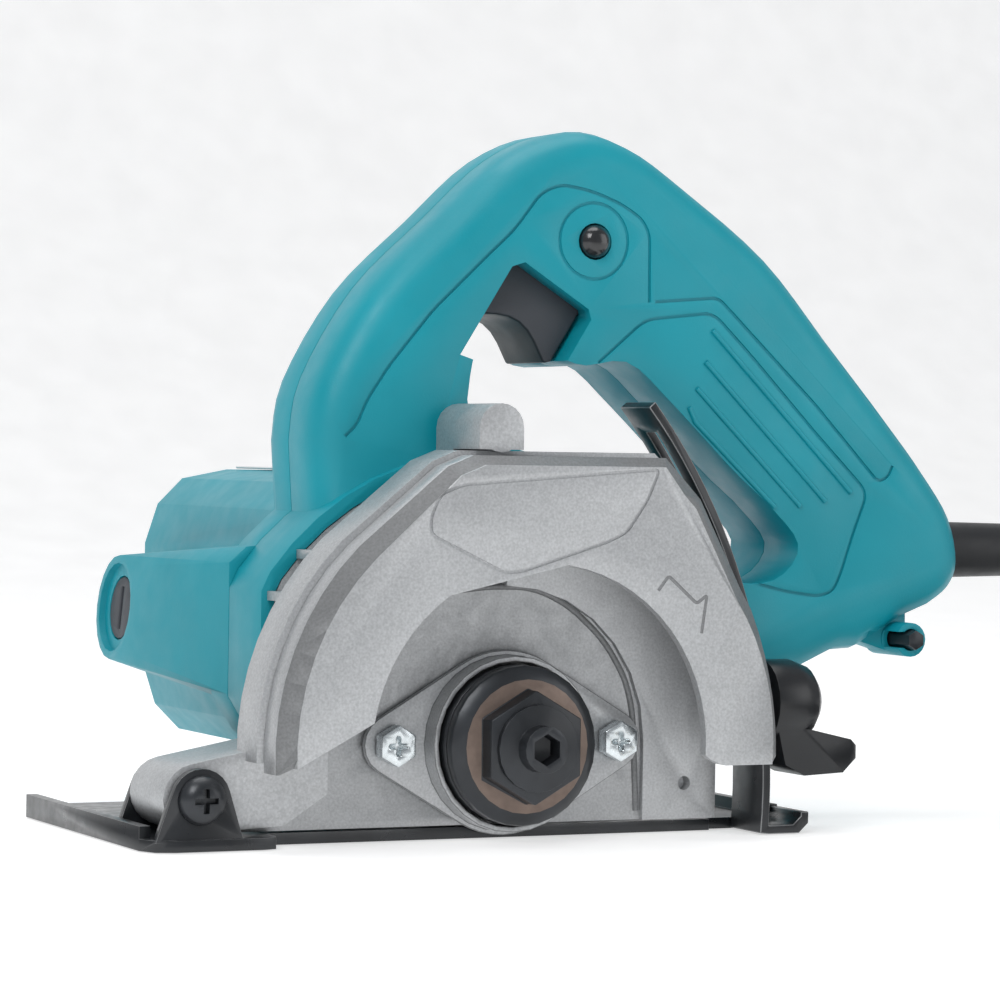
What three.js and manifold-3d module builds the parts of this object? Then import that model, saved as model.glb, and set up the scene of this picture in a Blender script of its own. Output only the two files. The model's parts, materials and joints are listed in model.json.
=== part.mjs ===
// Hand-held trim saw for a small diamond wheel: a tilting saw on a steel base plate.
// Millimetres, +Z up. X runs from the front (-X) to the cord end (+X), and Y runs from the wheel
// side (-Y) to the motor side (+Y). While it is built, X = 0 is the wheel spindle, Y = 0 the
// front face of the blade case and Z = 0 the ground; the group is then moved so that the origin
// is the middle of the footprint.

import * as THREE from 'three';
import { mergeVertices } from 'three/addons/utils/BufferGeometryUtils.js';
import { ConvexGeometry } from 'three/addons/geometries/ConvexGeometry.js';
import Module from 'manifold-3d';

const wasm = await Module();
wasm.setup();

// ---------------------------------------------------------------- driving dimensions

const GAP = 0.3;                 // clearance between pieces that touch on the real tool

const WHEEL_D = 110;             // largest wheel the blade case is made for
const WHEEL_ROOM = 1.2;          // free space round the wheel inside the case
const RIM_WALL = 4.3;            // wall of the blade case round the wheel
const RIM_STEP = 1.5;            // how far the housing rim stands out past the case
const SPINDLE_Z = 21;            // height of the wheel spindle at full depth of cut
const CASE_DEPTH = 10;           // front face of the blade case to its joint
const CASE_PLATE = 2.5;          // thickness of the blade case's front plate
const CASE_CHAMFER = 3.5;        // bevel round the case's front face
const WALL_Y = 20.7;             // front surface of the gear housing's rear wall
const WALL_T = 3.3;              // thickness of that wall
const ACCESS_R = 40;             // access opening in the blade case
const HAT_TOP = WHEEL_D / 2 + 7; // flat top of the case above the spindle
const HAT_FRONT = 20;            // front corner of the flat top, ahead of the spindle
const HAT_REAR = 29;             // rear corner of the flat top, behind the spindle
const LEG_FOOT_Z = 16.5;         // lower end of the blade case's two legs
const WALL_FOOT_Z = 3.0;         // lower edge of the gear housing

const FLANGE_D = 35;             // clamping flanges of the wheel
const FLANGE_FACE_Y = 7.5;       // front face of the outer flange
const FLANGE_T = 4.5;            // thickness of each clamping flange
const NUT_AF = 21.5;             // hexagon on the outer flange
const SPINDLE_D = 14;            // wheel spindle
const COLLAR_D = 38.6;           // dust collar of the bearing retainer
const RETAINER_BOLT_X = 27;      // retainer bolts either side of the spindle

const MODULE = 1;                // tooth module of the reduction gears
const GEAR_TEETH = 30;
const PINION_TEETH = 13;
const GEAR_W = 7;                // face width of the gears
const GEAR_Y = 31;               // near face of the gears
const MESH_ANGLE = 104.5;         // degrees, direction from the spindle to the armature axis

const SEAM_Y = 49;               // joint plane of the two plastic housing halves
const BAND_Y = 30;               // near edge of the plastic housing
const SHELL = 3;                 // wall of the plastic housing
const BAND_R = 63.5;             // housing outline over the gear case
const BAND_FRONT = 53.5;         // front face of the housing, ahead of the spindle
const BAND_REAR = 56;            // rear face of the housing, behind the spindle
const MOTOR_END_Y = 145;         // far end of the motor housing
const MOTOR_HALF_W = 35;         // half width of the motor barrel
const MOTOR_HALF_H = 33;         // half height of the motor barrel
const MOTOR_RISE = 4.6;          // middle of the motor barrel, above the armature axis
const BRUSH_Y = 112;             // plane of the carbon brushes
const BRUSH_REACH = 52.5;        // brush cap boss, ahead of the armature axis
const BRUSH_TILT = 5.5;          // degrees, the brush axis rises towards the front
const BRUSH_BOSS_D = 24.6;
const BRUSH_CAP_D = 14.7;

const HANDLE_W = 32;             // width of the hand grip
const HANDLE_ROUND = 7;          // rounding of the grip's edges
const HANDLE_X = -40;            // front of the handle's front leg
const HANDLE_Z = 86.7;           // height where the front leg leaves the housing
const HANDLE_REACH = 168;        // front leg to rear end
const HANDLE_RISE = 71.6;        // front leg root to the top of the grip
const TRIGGER_W = 20;
const TRIGGER_TRAVEL = 5;
const LOCK_BUTTON_D = 7.7;
const LOCK_BUTTON_TRAVEL = 3;
const GUARD_ROOT_D = 13.7;       // cord guard where it leaves the handle
const GUARD_TIP_D = 11.6;
const GUARD_LENGTH = 56;
const KEY_AF = 4;                // hexagon key kept on the handle
const KEY_ARM = 62;
const KEY_SHORT_ARM = 22;

const BASE_T = 2.5;              // base plate steel
const BASE_WIDTH = 84.7;         // near edge at the pivot to the far edge
const BASE_NEAR_Y = 12.3;
const BASE_TOE = 12;             // front edge, ahead of the pivot
const BASE_LIP = 5.2;            // height of the turned-up ends
const PIVOT_AHEAD = 12.5;        // depth pivot, ahead of the blade case
const PIVOT_Z = 10.8;
const EAR_T = 2;
const EAR_R = 6.6;
const EAR_SPACING = 24;
const PIVOT_SCREW_D = 5.8;
const GUIDE_T = 2;               // depth guide steel
const GUIDE_STAND_OFF = 4.3;     // middle of the guide, outside the wheel space
const GUIDE_NEAR_Y = 8.8;
const GUIDE_W = 14;
const GUIDE_SLOT_W = 5;
const GUIDE_TOP_ANGLE = 39.5;    // degrees about the pivot
const GUIDE_FOOT = 11;           // foot of the guide, past the arc
const CLAMP_ANGLE = 8;           // where the lever's bolt crosses the guide
const LEVER_HUB_D = 19;

const CORD_D = 8;
const CORD_COIL_MEAN_D = 96;

// ---------------------------------------------------------------- materials

function finish(color, roughness, metalness) {
  return new THREE.MeshStandardMaterial({ color, roughness, metalness });
}

const housingPlastic = finish(0x009bad, 0.55, 0);
const darkPlastic = finish(0x4a4f55, 0.6, 0);
const blackPlastic = finish(0x1f2226, 0.6, 0);
const castAluminium = finish(0xc4c8cb, 0.5, 0.7);
const blackSteel = finish(0x23262b, 0.45, 0.5);
const bareSteel = finish(0xb9bdc0, 0.3, 0.9);
const zincSteel = finish(0xdfe3e2, 0.35, 0.8);
const bronzedSteel = finish(0x6b5e57, 0.4, 0.7);
const copper = finish(0xb4683a, 0.4, 0.8);
const carbon = finish(0x2a2a2c, 0.8, 0.1);
const rubber = finish(0x2c2f33, 0.8, 0);
const insulation = finish(0xe9e4d6, 0.7, 0);
const brass = finish(0xc9a45a, 0.35, 0.9);
const plateFoil = finish(0xe6e7e6, 0.5, 0.2);

// ---------------------------------------------------------------- solids

const DEG = Math.PI / 180;

function signedVolume(vertices, triangles) {
  const a = new THREE.Vector3();
  const b = new THREE.Vector3();
  const c = new THREE.Vector3();
  let sum = 0;
  for (let i = 0; i < triangles.length; i += 3) {
    a.fromArray(vertices, triangles[i] * 3);
    b.fromArray(vertices, triangles[i + 1] * 3);
    c.fromArray(vertices, triangles[i + 2] * 3);
    sum += a.dot(b.cross(c));
  }
  return sum;
}

// Closed solid of a geometry, turned so that its faces point out.
function solid(geometry) {
  const bare = geometry.index ? geometry.toNonIndexed() : geometry.clone();
  bare.deleteAttribute('normal');
  bare.deleteAttribute('uv');
  const merged = mergeVertices(bare, 1e-4);
  const vertProperties = new Float32Array(merged.attributes.position.array);
  const corners = [];
  const index = merged.index.array;
  for (let i = 0; i < index.length; i += 3) {
    const [a, b, c] = [index[i], index[i + 1], index[i + 2]];
    if (a !== b && b !== c && a !== c) corners.push(a, b, c);
  }
  if (signedVolume(vertProperties, corners) < 0) corners.reverse();
  const triVerts = new Uint32Array(corners);
  return new wasm.Manifold(new wasm.Mesh({ numProp: 3, vertProperties, triVerts }));
}

function join(first, ...others) {
  return others.reduce((whole, part) => whole.add(part), first);
}

function cut(body, ...tools) {
  return tools.reduce((rest, tool) => rest.subtract(tool), body);
}

function outline(points) {
  return new THREE.Shape(points.map(([x, z]) => new THREE.Vector2(x, z)));
}

// Points of an arc about (cx, cz), angles in degrees from +X towards +Z.
function arc(cx, cz, r, from, to, steps) {
  const points = [];
  for (let i = 0; i <= steps; i += 1) {
    const a = (from + (to - from) * i / steps) * DEG;
    points.push([cx + r * Math.cos(a), cz + r * Math.sin(a)]);
  }
  return points;
}

// Plate with an outline in X and Z, from y0 to y1. round bevels its edges, inset shrinks it.
function slab(shape, y0, y1, { round = 0, roundSteps = 1, inset = 0, curve = 12 } = {}) {
  const geometry = new THREE.ExtrudeGeometry(shape, {
    depth: y1 - y0 - 2 * round,
    steps: 1,
    curveSegments: curve,
    bevelEnabled: round > 0 || inset !== 0,
    bevelThickness: round,
    bevelSize: round,
    bevelOffset: -round - inset,
    bevelSegments: round > 0 ? roundSteps : 1,
  });
  geometry.rotateX(Math.PI / 2);
  geometry.translate(0, y1 - round, 0);
  return solid(geometry);
}

function block(x0, x1, y0, y1, z0, z1) {
  const geometry = new THREE.BoxGeometry(x1 - x0, y1 - y0, z1 - z0);
  geometry.translate((x0 + x1) / 2, (y0 + y1) / 2, (z0 + z1) / 2);
  return solid(geometry);
}

// Plate with an outline in X and Y, from z0 to z1.
function sheet(shape, z0, z1) {
  const geometry = new THREE.ExtrudeGeometry(shape, { depth: z1 - z0, bevelEnabled: false });
  geometry.translate(0, 0, z0);
  return solid(geometry);
}

const ALONG = {
  x: (geometry) => geometry.rotateZ(-Math.PI / 2),
  y: (geometry) => geometry,
  z: (geometry) => geometry.rotateX(Math.PI / 2),
};

// Turned piece: profile of [radius, distance along the axis], placed with its zero at a point.
function turned(profile, at, { axis = 'y', facets = 20, turn = 0 } = {}) {
  const closed = [...profile];
  const [first, last] = [profile[0], profile[profile.length - 1]];
  if (first[0] > 0 || last[0] > 0) closed.push(first);
  const points = closed.map(([r, y]) => new THREE.Vector2(r, y));
  const geometry = new THREE.LatheGeometry(points, facets);
  ALONG[axis](geometry);
  geometry.rotateY(turn * DEG);
  geometry.translate(...at);
  return solid(geometry);
}

function rod(radius, from, to, at, options) {
  return turned([[0, from], [radius, from], [radius, to], [0, to]], at, options);
}

function ring(outer, inner, from, to, at, options) {
  return turned([[inner, from], [outer, from], [outer, to], [inner, to]], at, options);
}

// Hexagonal prism along an axis; its corners point along the first direction across it.
function hexagon(acrossFlats, from, to, at, axis = 'y') {
  return rod(acrossFlats / Math.sqrt(3), from, to, at, { axis, facets: 6 });
}

function bodyBetween(points) {
  return solid(new ConvexGeometry(points.map((p) => new THREE.Vector3(...p))));
}

const pieces = [];

function piece(name, material, body) {
  const mesh = body.getMesh();
  const geometry = new THREE.BufferGeometry();
  geometry.setAttribute('position', new THREE.BufferAttribute(new Float32Array(mesh.vertProperties), 3));
  geometry.setIndex(new THREE.BufferAttribute(new Uint32Array(mesh.triVerts), 1));
  geometry.computeVertexNormals();
  const part = new THREE.Mesh(geometry, material);
  part.name = name;
  pieces.push(part);
  return part;
}

// ---------------------------------------------------------------- derived places

const SPINDLE = [0, 0, SPINDLE_Z];
const CENTRES = MODULE * (GEAR_TEETH + PINION_TEETH) / 2;
const ARMATURE_X = CENTRES * Math.cos(MESH_ANGLE * DEG);
const ARMATURE_Z = SPINDLE_Z + CENTRES * Math.sin(MESH_ANGLE * DEG);
const ARMATURE = [ARMATURE_X, 0, ARMATURE_Z];
const CAVITY_R = WHEEL_D / 2 + WHEEL_ROOM;
const CASE_R = CAVITY_R + RIM_WALL;
const FACE_R = CASE_R - CASE_CHAMFER;
const RIM_R = CASE_R + RIM_STEP;
const PIVOT_X = -CASE_R - PIVOT_AHEAD;
const PIVOT = [PIVOT_X, 0, PIVOT_Z];
const NEAR_EAR_Y = BASE_NEAR_Y + EAR_T;
const FAR_EAR_Y = NEAR_EAR_Y + EAR_SPACING;
const GUIDE_R = CAVITY_R - PIVOT_X + GUIDE_STAND_OFF;
const GUIDE_INNER_R = GUIDE_R - GUIDE_T / 2;
const GUIDE_MID_Y = GUIDE_NEAR_Y + GUIDE_W / 2;
const CLAMP_Z = PIVOT_Z + GUIDE_R * Math.sin(CLAMP_ANGLE * DEG);
const BASE_MID_Y = WALL_Y + 0.1;

// All that the depth guide could sweep, seen from the tilting saw.
const GUIDE_SWEEP = ring(
  GUIDE_R + 60, GUIDE_INNER_R - 2 * GAP, -5, GUIDE_NEAR_Y + GUIDE_W + 2 * GAP, PIVOT, { facets: 120 },
);

// ---------------------------------------------------------------- blade case and gear housing

// Outline of the case: a circle about the spindle with a flat-topped hat, open below.
function caseOutline(r, top, footZ) {
  const grow = r - FACE_R;
  const foot = Math.asin((footZ - SPINDLE_Z) / r) / DEG;
  return outline([
    ...arc(0, SPINDLE_Z, r, foot, 34, 8),
    [HAT_REAR + 7 + grow, SPINDLE_Z + top - 9],
    [HAT_REAR + grow / 2, SPINDLE_Z + top],
    [-HAT_FRONT + 6 - grow / 2, SPINDLE_Z + top],
    [-HAT_FRONT - grow / 2, SPINDLE_Z + top - 2.4],
    ...arc(0, SPINDLE_Z, r, 134, 180 - foot, 8),
  ]);
}

// Space of the wheel: a round pocket with straight sides down to the ground.
function wheelSpace(r, y0, y1) {
  return join(
    rod(r, y0, y1, SPINDLE, { facets: 28 }),
    block(-r, r, y0, y1, -5, SPINDLE_Z),
  );
}

// Access opening with the slanting front edge and the round foot of the rear leg.
function accessOpening(y0, y1) {
  const edge = FACE_R + 12;
  return slab(outline([
    ...arc(0, SPINDLE_Z, ACCESS_R, -3, 82, 14),
    [-18, SPINDLE_Z + Math.sqrt(ACCESS_R ** 2 - 18 ** 2) - 1.6],
    ...arc(0, SPINDLE_Z, ACCESS_R, 124, 171, 8),
    [-edge, LEG_FOOT_Z - 5],
    [-edge, -5],
    [edge, -5],
    [edge, LEG_FOOT_Z - 0.8],
    [ACCESS_R + 9, LEG_FOOT_Z - 0.8],
    [ACCESS_R + 3.5, LEG_FOOT_Z + 0.3],
    [ACCESS_R + 1, LEG_FOOT_Z + 1.6],
  ]), y0, y1);
}

const CASE_SCREWS = {
  case_screw_front: [-HAT_FRONT + 2.5, HAT_TOP - 5.5],
  case_screw_rear: [HAT_REAR - 3, HAT_TOP - 5.5],
};

function bladeCase() {
  const face = slab(caseOutline(FACE_R, HAT_TOP - 1, LEG_FOOT_Z), 0, CASE_DEPTH + 6, { curve: 1 });
  const bevelled = slab(
    caseOutline(CASE_R, HAT_TOP + 1, LEG_FOOT_Z), 0, 2 * CASE_DEPTH, { round: CASE_CHAMFER },
  );
  const front = block(-200, 200, -1, CASE_DEPTH, -20, 200);
  const shell = cut(
    join(face, bevelled).intersect(front),
    wheelSpace(CAVITY_R, CASE_PLATE, CASE_DEPTH + 1),
    accessOpening(-1, CASE_DEPTH + 1),
  );
  const sockets = Object.values(CASE_SCREWS).map(
    ([x, z]) => rod(2.3, 4, CASE_DEPTH + 1, [x, 0, SPINDLE_Z + z], { facets: 12 }),
  );
  return cut(shell, GUIDE_SWEEP, ...sockets);
}

piece('blade_case', castAluminium, bladeCase());

const GEAR_R = MODULE * (GEAR_TEETH + 2) / 2;
const PINION_R = MODULE * (PINION_TEETH + 2) / 2;
const FRONT_BEARING = { r: 16, bore: SPINDLE_D / 2 + 0.5, y0: WALL_Y + 0.2, y1: WALL_Y + 9 };
const COVER_Y = GEAR_Y + GEAR_W + 2.5;
const REAR_BEARING = { r: 8, bore: 4, y0: COVER_Y + 1, y1: COVER_Y + 7 };
const ARMATURE_BEARING = { r: 11, y0: COVER_Y + 1, y1: COVER_Y + 8 };

// Outline of the plastic housing round the gear case.
function bandOutline() {
  const start = Math.acos(BAND_REAR / BAND_R) / DEG;
  const slopeEnd = 180 - Math.acos((BAND_FRONT - 2) / BAND_R) / DEG;
  return outline([
    [BAND_REAR - 4, WALL_FOOT_Z + 16],
    [BAND_REAR, WALL_FOOT_Z + 22],
    ...arc(0, SPINDLE_Z, BAND_R, start, slopeEnd, 16),
    [-BAND_FRONT, SPINDLE_Z + 33],
    [-BAND_FRONT, SPINDLE_Z + 9],
    [-BAND_FRONT + 5, SPINDLE_Z + 1],
    [-BAND_FRONT + 12, SPINDLE_Z - 6],
    [BAND_REAR - 14, SPINDLE_Z - 6],
  ]);
}

// Outline of the gear chamber's lobe, which shows under the plastic housing.
function gearLobe(extra) {
  return outline([
    ...arc(0, SPINDLE_Z, GEAR_R + 2 + extra, 180, 360, 12),
    ...arc(ARMATURE_X, ARMATURE_Z, PINION_R + 5 + extra, 0, 180, 10),
  ]);
}

function gearHousing() {
  const rim = cut(
    slab(caseOutline(RIM_R, HAT_TOP + 2, LEG_FOOT_Z + 2), CASE_DEPTH + GAP, WALL_Y + 1),
    wheelSpace(CAVITY_R, CASE_DEPTH - 1, WALL_Y),
  );
  const rearEdge = FACE_R - 4;
  const openRear = block(rearEdge, 200, 0, WALL_Y - 0.1, -20, LEG_FOOT_Z + 1.5);
  const wall = slab(outline([
    [-FACE_R - 4.2, WALL_FOOT_Z],
    [rearEdge, WALL_FOOT_Z],
    [rearEdge, SPINDLE_Z + 10],
    ...arc(0, SPINDLE_Z, CASE_R, 22, 158, 16),
    [-FACE_R - 0.5, SPINDLE_Z],
  ]), WALL_Y, WALL_Y + WALL_T);
  const step = ACCESS_R - 5.5;
  const outerBand = cut(
    slab(outline([
      [-rearEdge, WALL_FOOT_Z],
      [rearEdge, WALL_FOOT_Z],
      ...arc(0, SPINDLE_Z, CAVITY_R + 1, 20, 88, 8),
      [0, SPINDLE_Z + step],
    ]), WALL_Y - 1.6, WALL_Y + 1),
    rod(step, 0, WALL_Y + 2, SPINDLE, { facets: 28 }),
    block(-100, step, 0, WALL_Y + 2, -5, SPINDLE_Z),
    block(-100, 0, 0, WALL_Y + 2, -5, 100),
  );
  const core = slab(gearLobe(0), WALL_Y + 1, COVER_Y - GAP);
  const seat = slab(bandOutline(), BAND_Y + GAP, COVER_Y - GAP, { inset: SHELL + GAP });
  const neck = slab(bandOutline(), WALL_Y + 1, BAND_Y + 1, { inset: SHELL + 3 });
  const tongue = cut(slab(outline([
    ...arc(PIVOT_X, PIVOT_Z, EAR_R + 0.8, 100, 265, 10),
    [-FACE_R + 4, WALL_FOOT_Z + 1.5],
    [-FACE_R + 14, WALL_FOOT_Z + 8],
    [-FACE_R + 14, SPINDLE_Z + 2],
    [-FACE_R + 2, SPINDLE_Z + 0.8],
  ]), NEAR_EAR_Y + EAR_T / 2 + GAP + 1, FAR_EAR_Y - EAR_T / 2 - GAP),
  slab(bandOutline(), BAND_Y - GAP, FAR_EAR_Y, { inset: -GAP }));
  const fins = [12, 22, 32, 41].map((rise) => {
    const reach = Math.sqrt((CASE_R + 0.8) ** 2 - rise ** 2);
    const front = -Math.min(reach, BAND_FRONT - SHELL + 2);
    const z = SPINDLE_Z + rise;
    return block(front, -20, WALL_Y + 1, BAND_Y - GAP, z - 1, z + 1);
  });
  const boss = join(
    block(-12.7, -2.1, WALL_Y - 13.5, BAND_Y - GAP, SPINDLE_Z + HAT_TOP + 2 + GAP, SPINDLE_Z + HAT_TOP + 7),
    rod(5.3, WALL_Y - 13.5, BAND_Y - GAP, [-7.4, 0, SPINDLE_Z + HAT_TOP + 7], { facets: 20 }),
    block(-12.7, -2.1, WALL_Y, BAND_Y - GAP, SPINDLE_Z + 50, SPINDLE_Z + 66),
  );
  const whole = join(rim, wall, outerBand, core, seat, neck, tongue, boss, ...fins);
  const chamber = join(
    rod(GEAR_R + 0.8, GEAR_Y - 1, COVER_Y + 1, SPINDLE, { facets: 28 }),
    rod(PINION_R + 1, GEAR_Y - 1, COVER_Y + 1, ARMATURE, { facets: 16 }),
  );
  const screwHoles = [-1, 1].map(
    (side) => rod(2.3, 0, WALL_Y + 7, [side * RETAINER_BOLT_X, 0, SPINDLE_Z], { facets: 12 }),
  );
  const caseScrewHoles = Object.values(CASE_SCREWS).map(
    ([x, z]) => join(
      rod(2.3, CASE_DEPTH, BAND_Y + 2, [x, 0, SPINDLE_Z + z], { facets: 12 }),
      rod(4.4, WALL_Y - 2, 60, [x, 0, SPINDLE_Z + z], { facets: 12 }),
    ),
  );
  return cut(
    whole,
    openRear,
    chamber,
    rod(FRONT_BEARING.r + 0.3, 0, GEAR_Y, SPINDLE, { facets: 28 }),
    GUIDE_SWEEP,
    rod(PIVOT_SCREW_D / 2 + GAP, 0, 60, PIVOT, { facets: 16 }),
    rod(GUIDE_SLOT_W / 2, CASE_R - 10, CASE_R + 5, [0, GUIDE_MID_Y, CLAMP_Z], { axis: 'x', facets: 12 }),
    rod(1.6, 0, WALL_Y + 1.5, [ACCESS_R + 5, 0, WALL_FOOT_Z + 8], { facets: 12 }),
    ...screwHoles,
    ...caseScrewHoles,
  );
}

piece('gear_housing', castAluminium, gearHousing());

for (const [name, [x, z]] of Object.entries(CASE_SCREWS)) {
  piece(name, zincSteel, join(
    rod(2, 5, WALL_Y - 1, [x, 0, SPINDLE_Z + z], { facets: 10 }),
    rod(3.8, WALL_Y - 2 + GAP, WALL_Y + 1.4, [x, 0, SPINDLE_Z + z], { facets: 12 }),
  ));
}

// ---------------------------------------------------------------- spindle stack

const COLLAR_RIM_Y = 14;
const RETAINER_Y = WALL_Y - GAP - 1.4;

function bearingRetainer() {
  const r = COLLAR_D / 2;
  const lobe = 6.5;
  const tilt = Math.acos((r + 1 - lobe) / RETAINER_BOLT_X) / DEG;
  const plate = slab(outline([
    ...arc(RETAINER_BOLT_X, SPINDLE_Z, lobe, -tilt, tilt, 6),
    ...arc(0, SPINDLE_Z, r + 1, tilt, 180 - tilt, 8),
    ...arc(-RETAINER_BOLT_X, SPINDLE_Z, lobe, 180 - tilt, 180 + tilt, 6),
    ...arc(0, SPINDLE_Z, r + 1, 180 + tilt, 360 - tilt, 8),
  ]), RETAINER_Y, WALL_Y - GAP);
  const collar = rod(r, COLLAR_RIM_Y, RETAINER_Y + 1, SPINDLE, { facets: 28 });
  const holes = [-1, 1].map(
    (side) => rod(2.3, 0, WALL_Y, [side * RETAINER_BOLT_X, 0, SPINDLE_Z], { facets: 12 }),
  );
  return cut(
    join(plate, collar),
    rod(r - 1.2, 0, RETAINER_Y, SPINDLE, { facets: 28 }),
    rod(FRONT_BEARING.r - 4, 0, WALL_Y + 1, SPINDLE, { facets: 24 }),
    ...holes,
  );
}

piece('bearing_retainer', castAluminium, bearingRetainer());

for (const [name, side] of [['retainer_bolt_front', -1], ['retainer_bolt_rear', 1]]) {
  const at = [side * RETAINER_BOLT_X, 0, SPINDLE_Z];
  piece(name, zincSteel, join(
    hexagon(8, RETAINER_Y - GAP - 3.6, RETAINER_Y - GAP, at),
    rod(2, RETAINER_Y - 1, WALL_Y + 6.5, at, { facets: 10 }),
  ));
}

const OUTER_BACK_Y = FLANGE_FACE_Y + FLANGE_T;
const INNER_FACE_Y = OUTER_BACK_Y + GAP;

piece('outer_flange', bronzedSteel, cut(
  join(
    turned([
      [0, FLANGE_FACE_Y],
      [FLANGE_D / 2 - 2.9, FLANGE_FACE_Y],
      [FLANGE_D / 2, FLANGE_FACE_Y + 1.8],
      [FLANGE_D / 2, OUTER_BACK_Y],
      [0, OUTER_BACK_Y],
    ], SPINDLE, { facets: 28 }),
    hexagon(NUT_AF, 3, FLANGE_FACE_Y + 1, SPINDLE),
  ),
  rod(5 + GAP, 0, OUTER_BACK_Y + 1, SPINDLE, { facets: 16 }),
));

piece('inner_flange', blackSteel, cut(
  turned([
    [0, INNER_FACE_Y],
    [FLANGE_D / 2, INNER_FACE_Y],
    [FLANGE_D / 2, INNER_FACE_Y + FLANGE_T],
    [SPINDLE_D / 2 + 3, INNER_FACE_Y + FLANGE_T + 1],
    [SPINDLE_D / 2 + 3, WALL_Y - 1],
    [0, WALL_Y - 1],
  ], SPINDLE, { facets: 28 }),
  rod(SPINDLE_D / 2 + GAP, 0, WALL_Y, SPINDLE),
));

piece('flange_bolt', blackSteel, cut(
  join(
    rod(5.1, -2.3, 3, SPINDLE, { facets: 20 }),
    rod(9.5, 1.6, 3 - GAP, SPINDLE),
    rod(4.4, 2, INNER_FACE_Y + 8, SPINDLE, { facets: 16 }),
  ),
  hexagon(6, -3, 2.4, SPINDLE),
));

piece('spindle', bareSteel, cut(
  join(
    rod(SPINDLE_D / 2, OUTER_BACK_Y + GAP, GEAR_Y + GEAR_W + 0.8, SPINDLE),
    rod(REAR_BEARING.bore - 0.1, GEAR_Y + GEAR_W, REAR_BEARING.y1, SPINDLE, { facets: 16 }),
  ),
  rod(4.4 + GAP, 0, INNER_FACE_Y + 9, SPINDLE, { facets: 16 }),
));

piece('spindle_front_bearing', bareSteel, ring(
  FRONT_BEARING.r, FRONT_BEARING.bore, FRONT_BEARING.y0, FRONT_BEARING.y1, SPINDLE, { facets: 28 },
));

piece('spindle_rear_bearing', bareSteel, ring(
  REAR_BEARING.r, REAR_BEARING.bore + 0.2, REAR_BEARING.y0, REAR_BEARING.y1, SPINDLE,
));

// ---------------------------------------------------------------- gears

// Toothed wheel with straight-sided teeth; one tooth is centred on the given direction.
function toothedWheel(teeth, width, bore, at, firstTooth) {
  const pitch = MODULE * teeth / 2;
  const levels = [
    [pitch - 1.15 * MODULE, 0.8],
    [pitch + 0.9 * MODULE, 0.24],
  ];
  const points = [];
  for (let i = 0; i < teeth; i += 1) {
    const centre = firstTooth * DEG + i * 2 * Math.PI / teeth;
    const [[rootR, rootHalf], [tipR, tipHalf]] = levels;
    const corners = [[rootR, -rootHalf], [tipR, -tipHalf], [tipR, tipHalf], [rootR, rootHalf]];
    for (const [r, half] of corners) {
      const a = centre + half * MODULE / r;
      points.push([at[0] + r * Math.cos(a), at[2] + r * Math.sin(a)]);
    }
  }
  const blank = slab(outline(points), GEAR_Y, GEAR_Y + width);
  return cut(blank, rod(bore, 0, 100, at, { facets: 20 }));
}

piece('spindle_gear', bareSteel, toothedWheel(
  GEAR_TEETH, GEAR_W, SPINDLE_D / 2 + GAP, SPINDLE, MESH_ANGLE,
));
piece('armature_pinion', bareSteel, toothedWheel(
  PINION_TEETH, GEAR_W, 4 + GAP, ARMATURE, MESH_ANGLE + 180 + 180 / PINION_TEETH,
));

piece('gear_cover', castAluminium, cut(
  join(
    slab(bandOutline(), COVER_Y, SEAM_Y - GAP, { inset: SHELL + 0.8 }),
    slab(gearLobe(0), COVER_Y, SEAM_Y - GAP),
  ),
  rod(REAR_BEARING.r + 0.3, COVER_Y - 1, REAR_BEARING.y1 + 0.3, SPINDLE),
  rod(ARMATURE_BEARING.r + 0.3, COVER_Y - 1, SEAM_Y + 2, ARMATURE),
));

// ---------------------------------------------------------------- motor

const SHAFT_R = 4;
const FAN_Y = SEAM_Y + 2.5;
const CORE_Y = [FAN_Y + 18, FAN_Y + 48];
const COMMUTATOR_Y = [BRUSH_Y - 7, BRUSH_Y + 7];
const TAIL_BEARING_Y = [BRUSH_Y + 14, BRUSH_Y + 20];
const FIELD_R = Math.min(MOTOR_HALF_H - MOTOR_RISE, MOTOR_HALF_W) - SHELL - 1.2;
const CORE_R = FIELD_R * 0.6;

piece('armature_shaft', bareSteel, rod(
  SHAFT_R, GEAR_Y - 0.6, TAIL_BEARING_Y[1] + 3, ARMATURE, { facets: 16 },
));
piece('armature_front_bearing', bareSteel, ring(
  ARMATURE_BEARING.r, SHAFT_R + 0.2, ARMATURE_BEARING.y0, ARMATURE_BEARING.y1, ARMATURE,
));
piece('armature_tail_bearing', bareSteel, ring(
  11, SHAFT_R + 0.2, TAIL_BEARING_Y[0], TAIL_BEARING_Y[1], ARMATURE,
));
piece('armature_core', copper, ring(CORE_R, SHAFT_R + GAP, CORE_Y[0], CORE_Y[1], ARMATURE, { facets: 22 }));
piece('commutator', copper, ring(
  10.5, SHAFT_R + GAP, COMMUTATOR_Y[0], COMMUTATOR_Y[1], ARMATURE, { facets: 22 },
));

function coolingFan() {
  const outer = FIELD_R - 0.5;
  const blades = Array.from({ length: 12 }, (_, i) => {
    const geometry = new THREE.BoxGeometry(outer - 9, 9, 1.4);
    geometry.translate((outer + 9) / 2 - 0.5, FAN_Y + 6, 0);
    geometry.rotateY(i * Math.PI / 6 + 0.1);
    geometry.translate(ARMATURE_X, 0, ARMATURE_Z);
    return solid(geometry);
  });
  const hub = rod(10, FAN_Y, FAN_Y + 10.5, ARMATURE);
  const disc = rod(outer, FAN_Y, FAN_Y + 2, ARMATURE, { facets: 36 });
  return cut(join(hub, disc, ...blades), rod(SHAFT_R + GAP, 0, 100, ARMATURE, { facets: 16 }));
}

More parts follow.
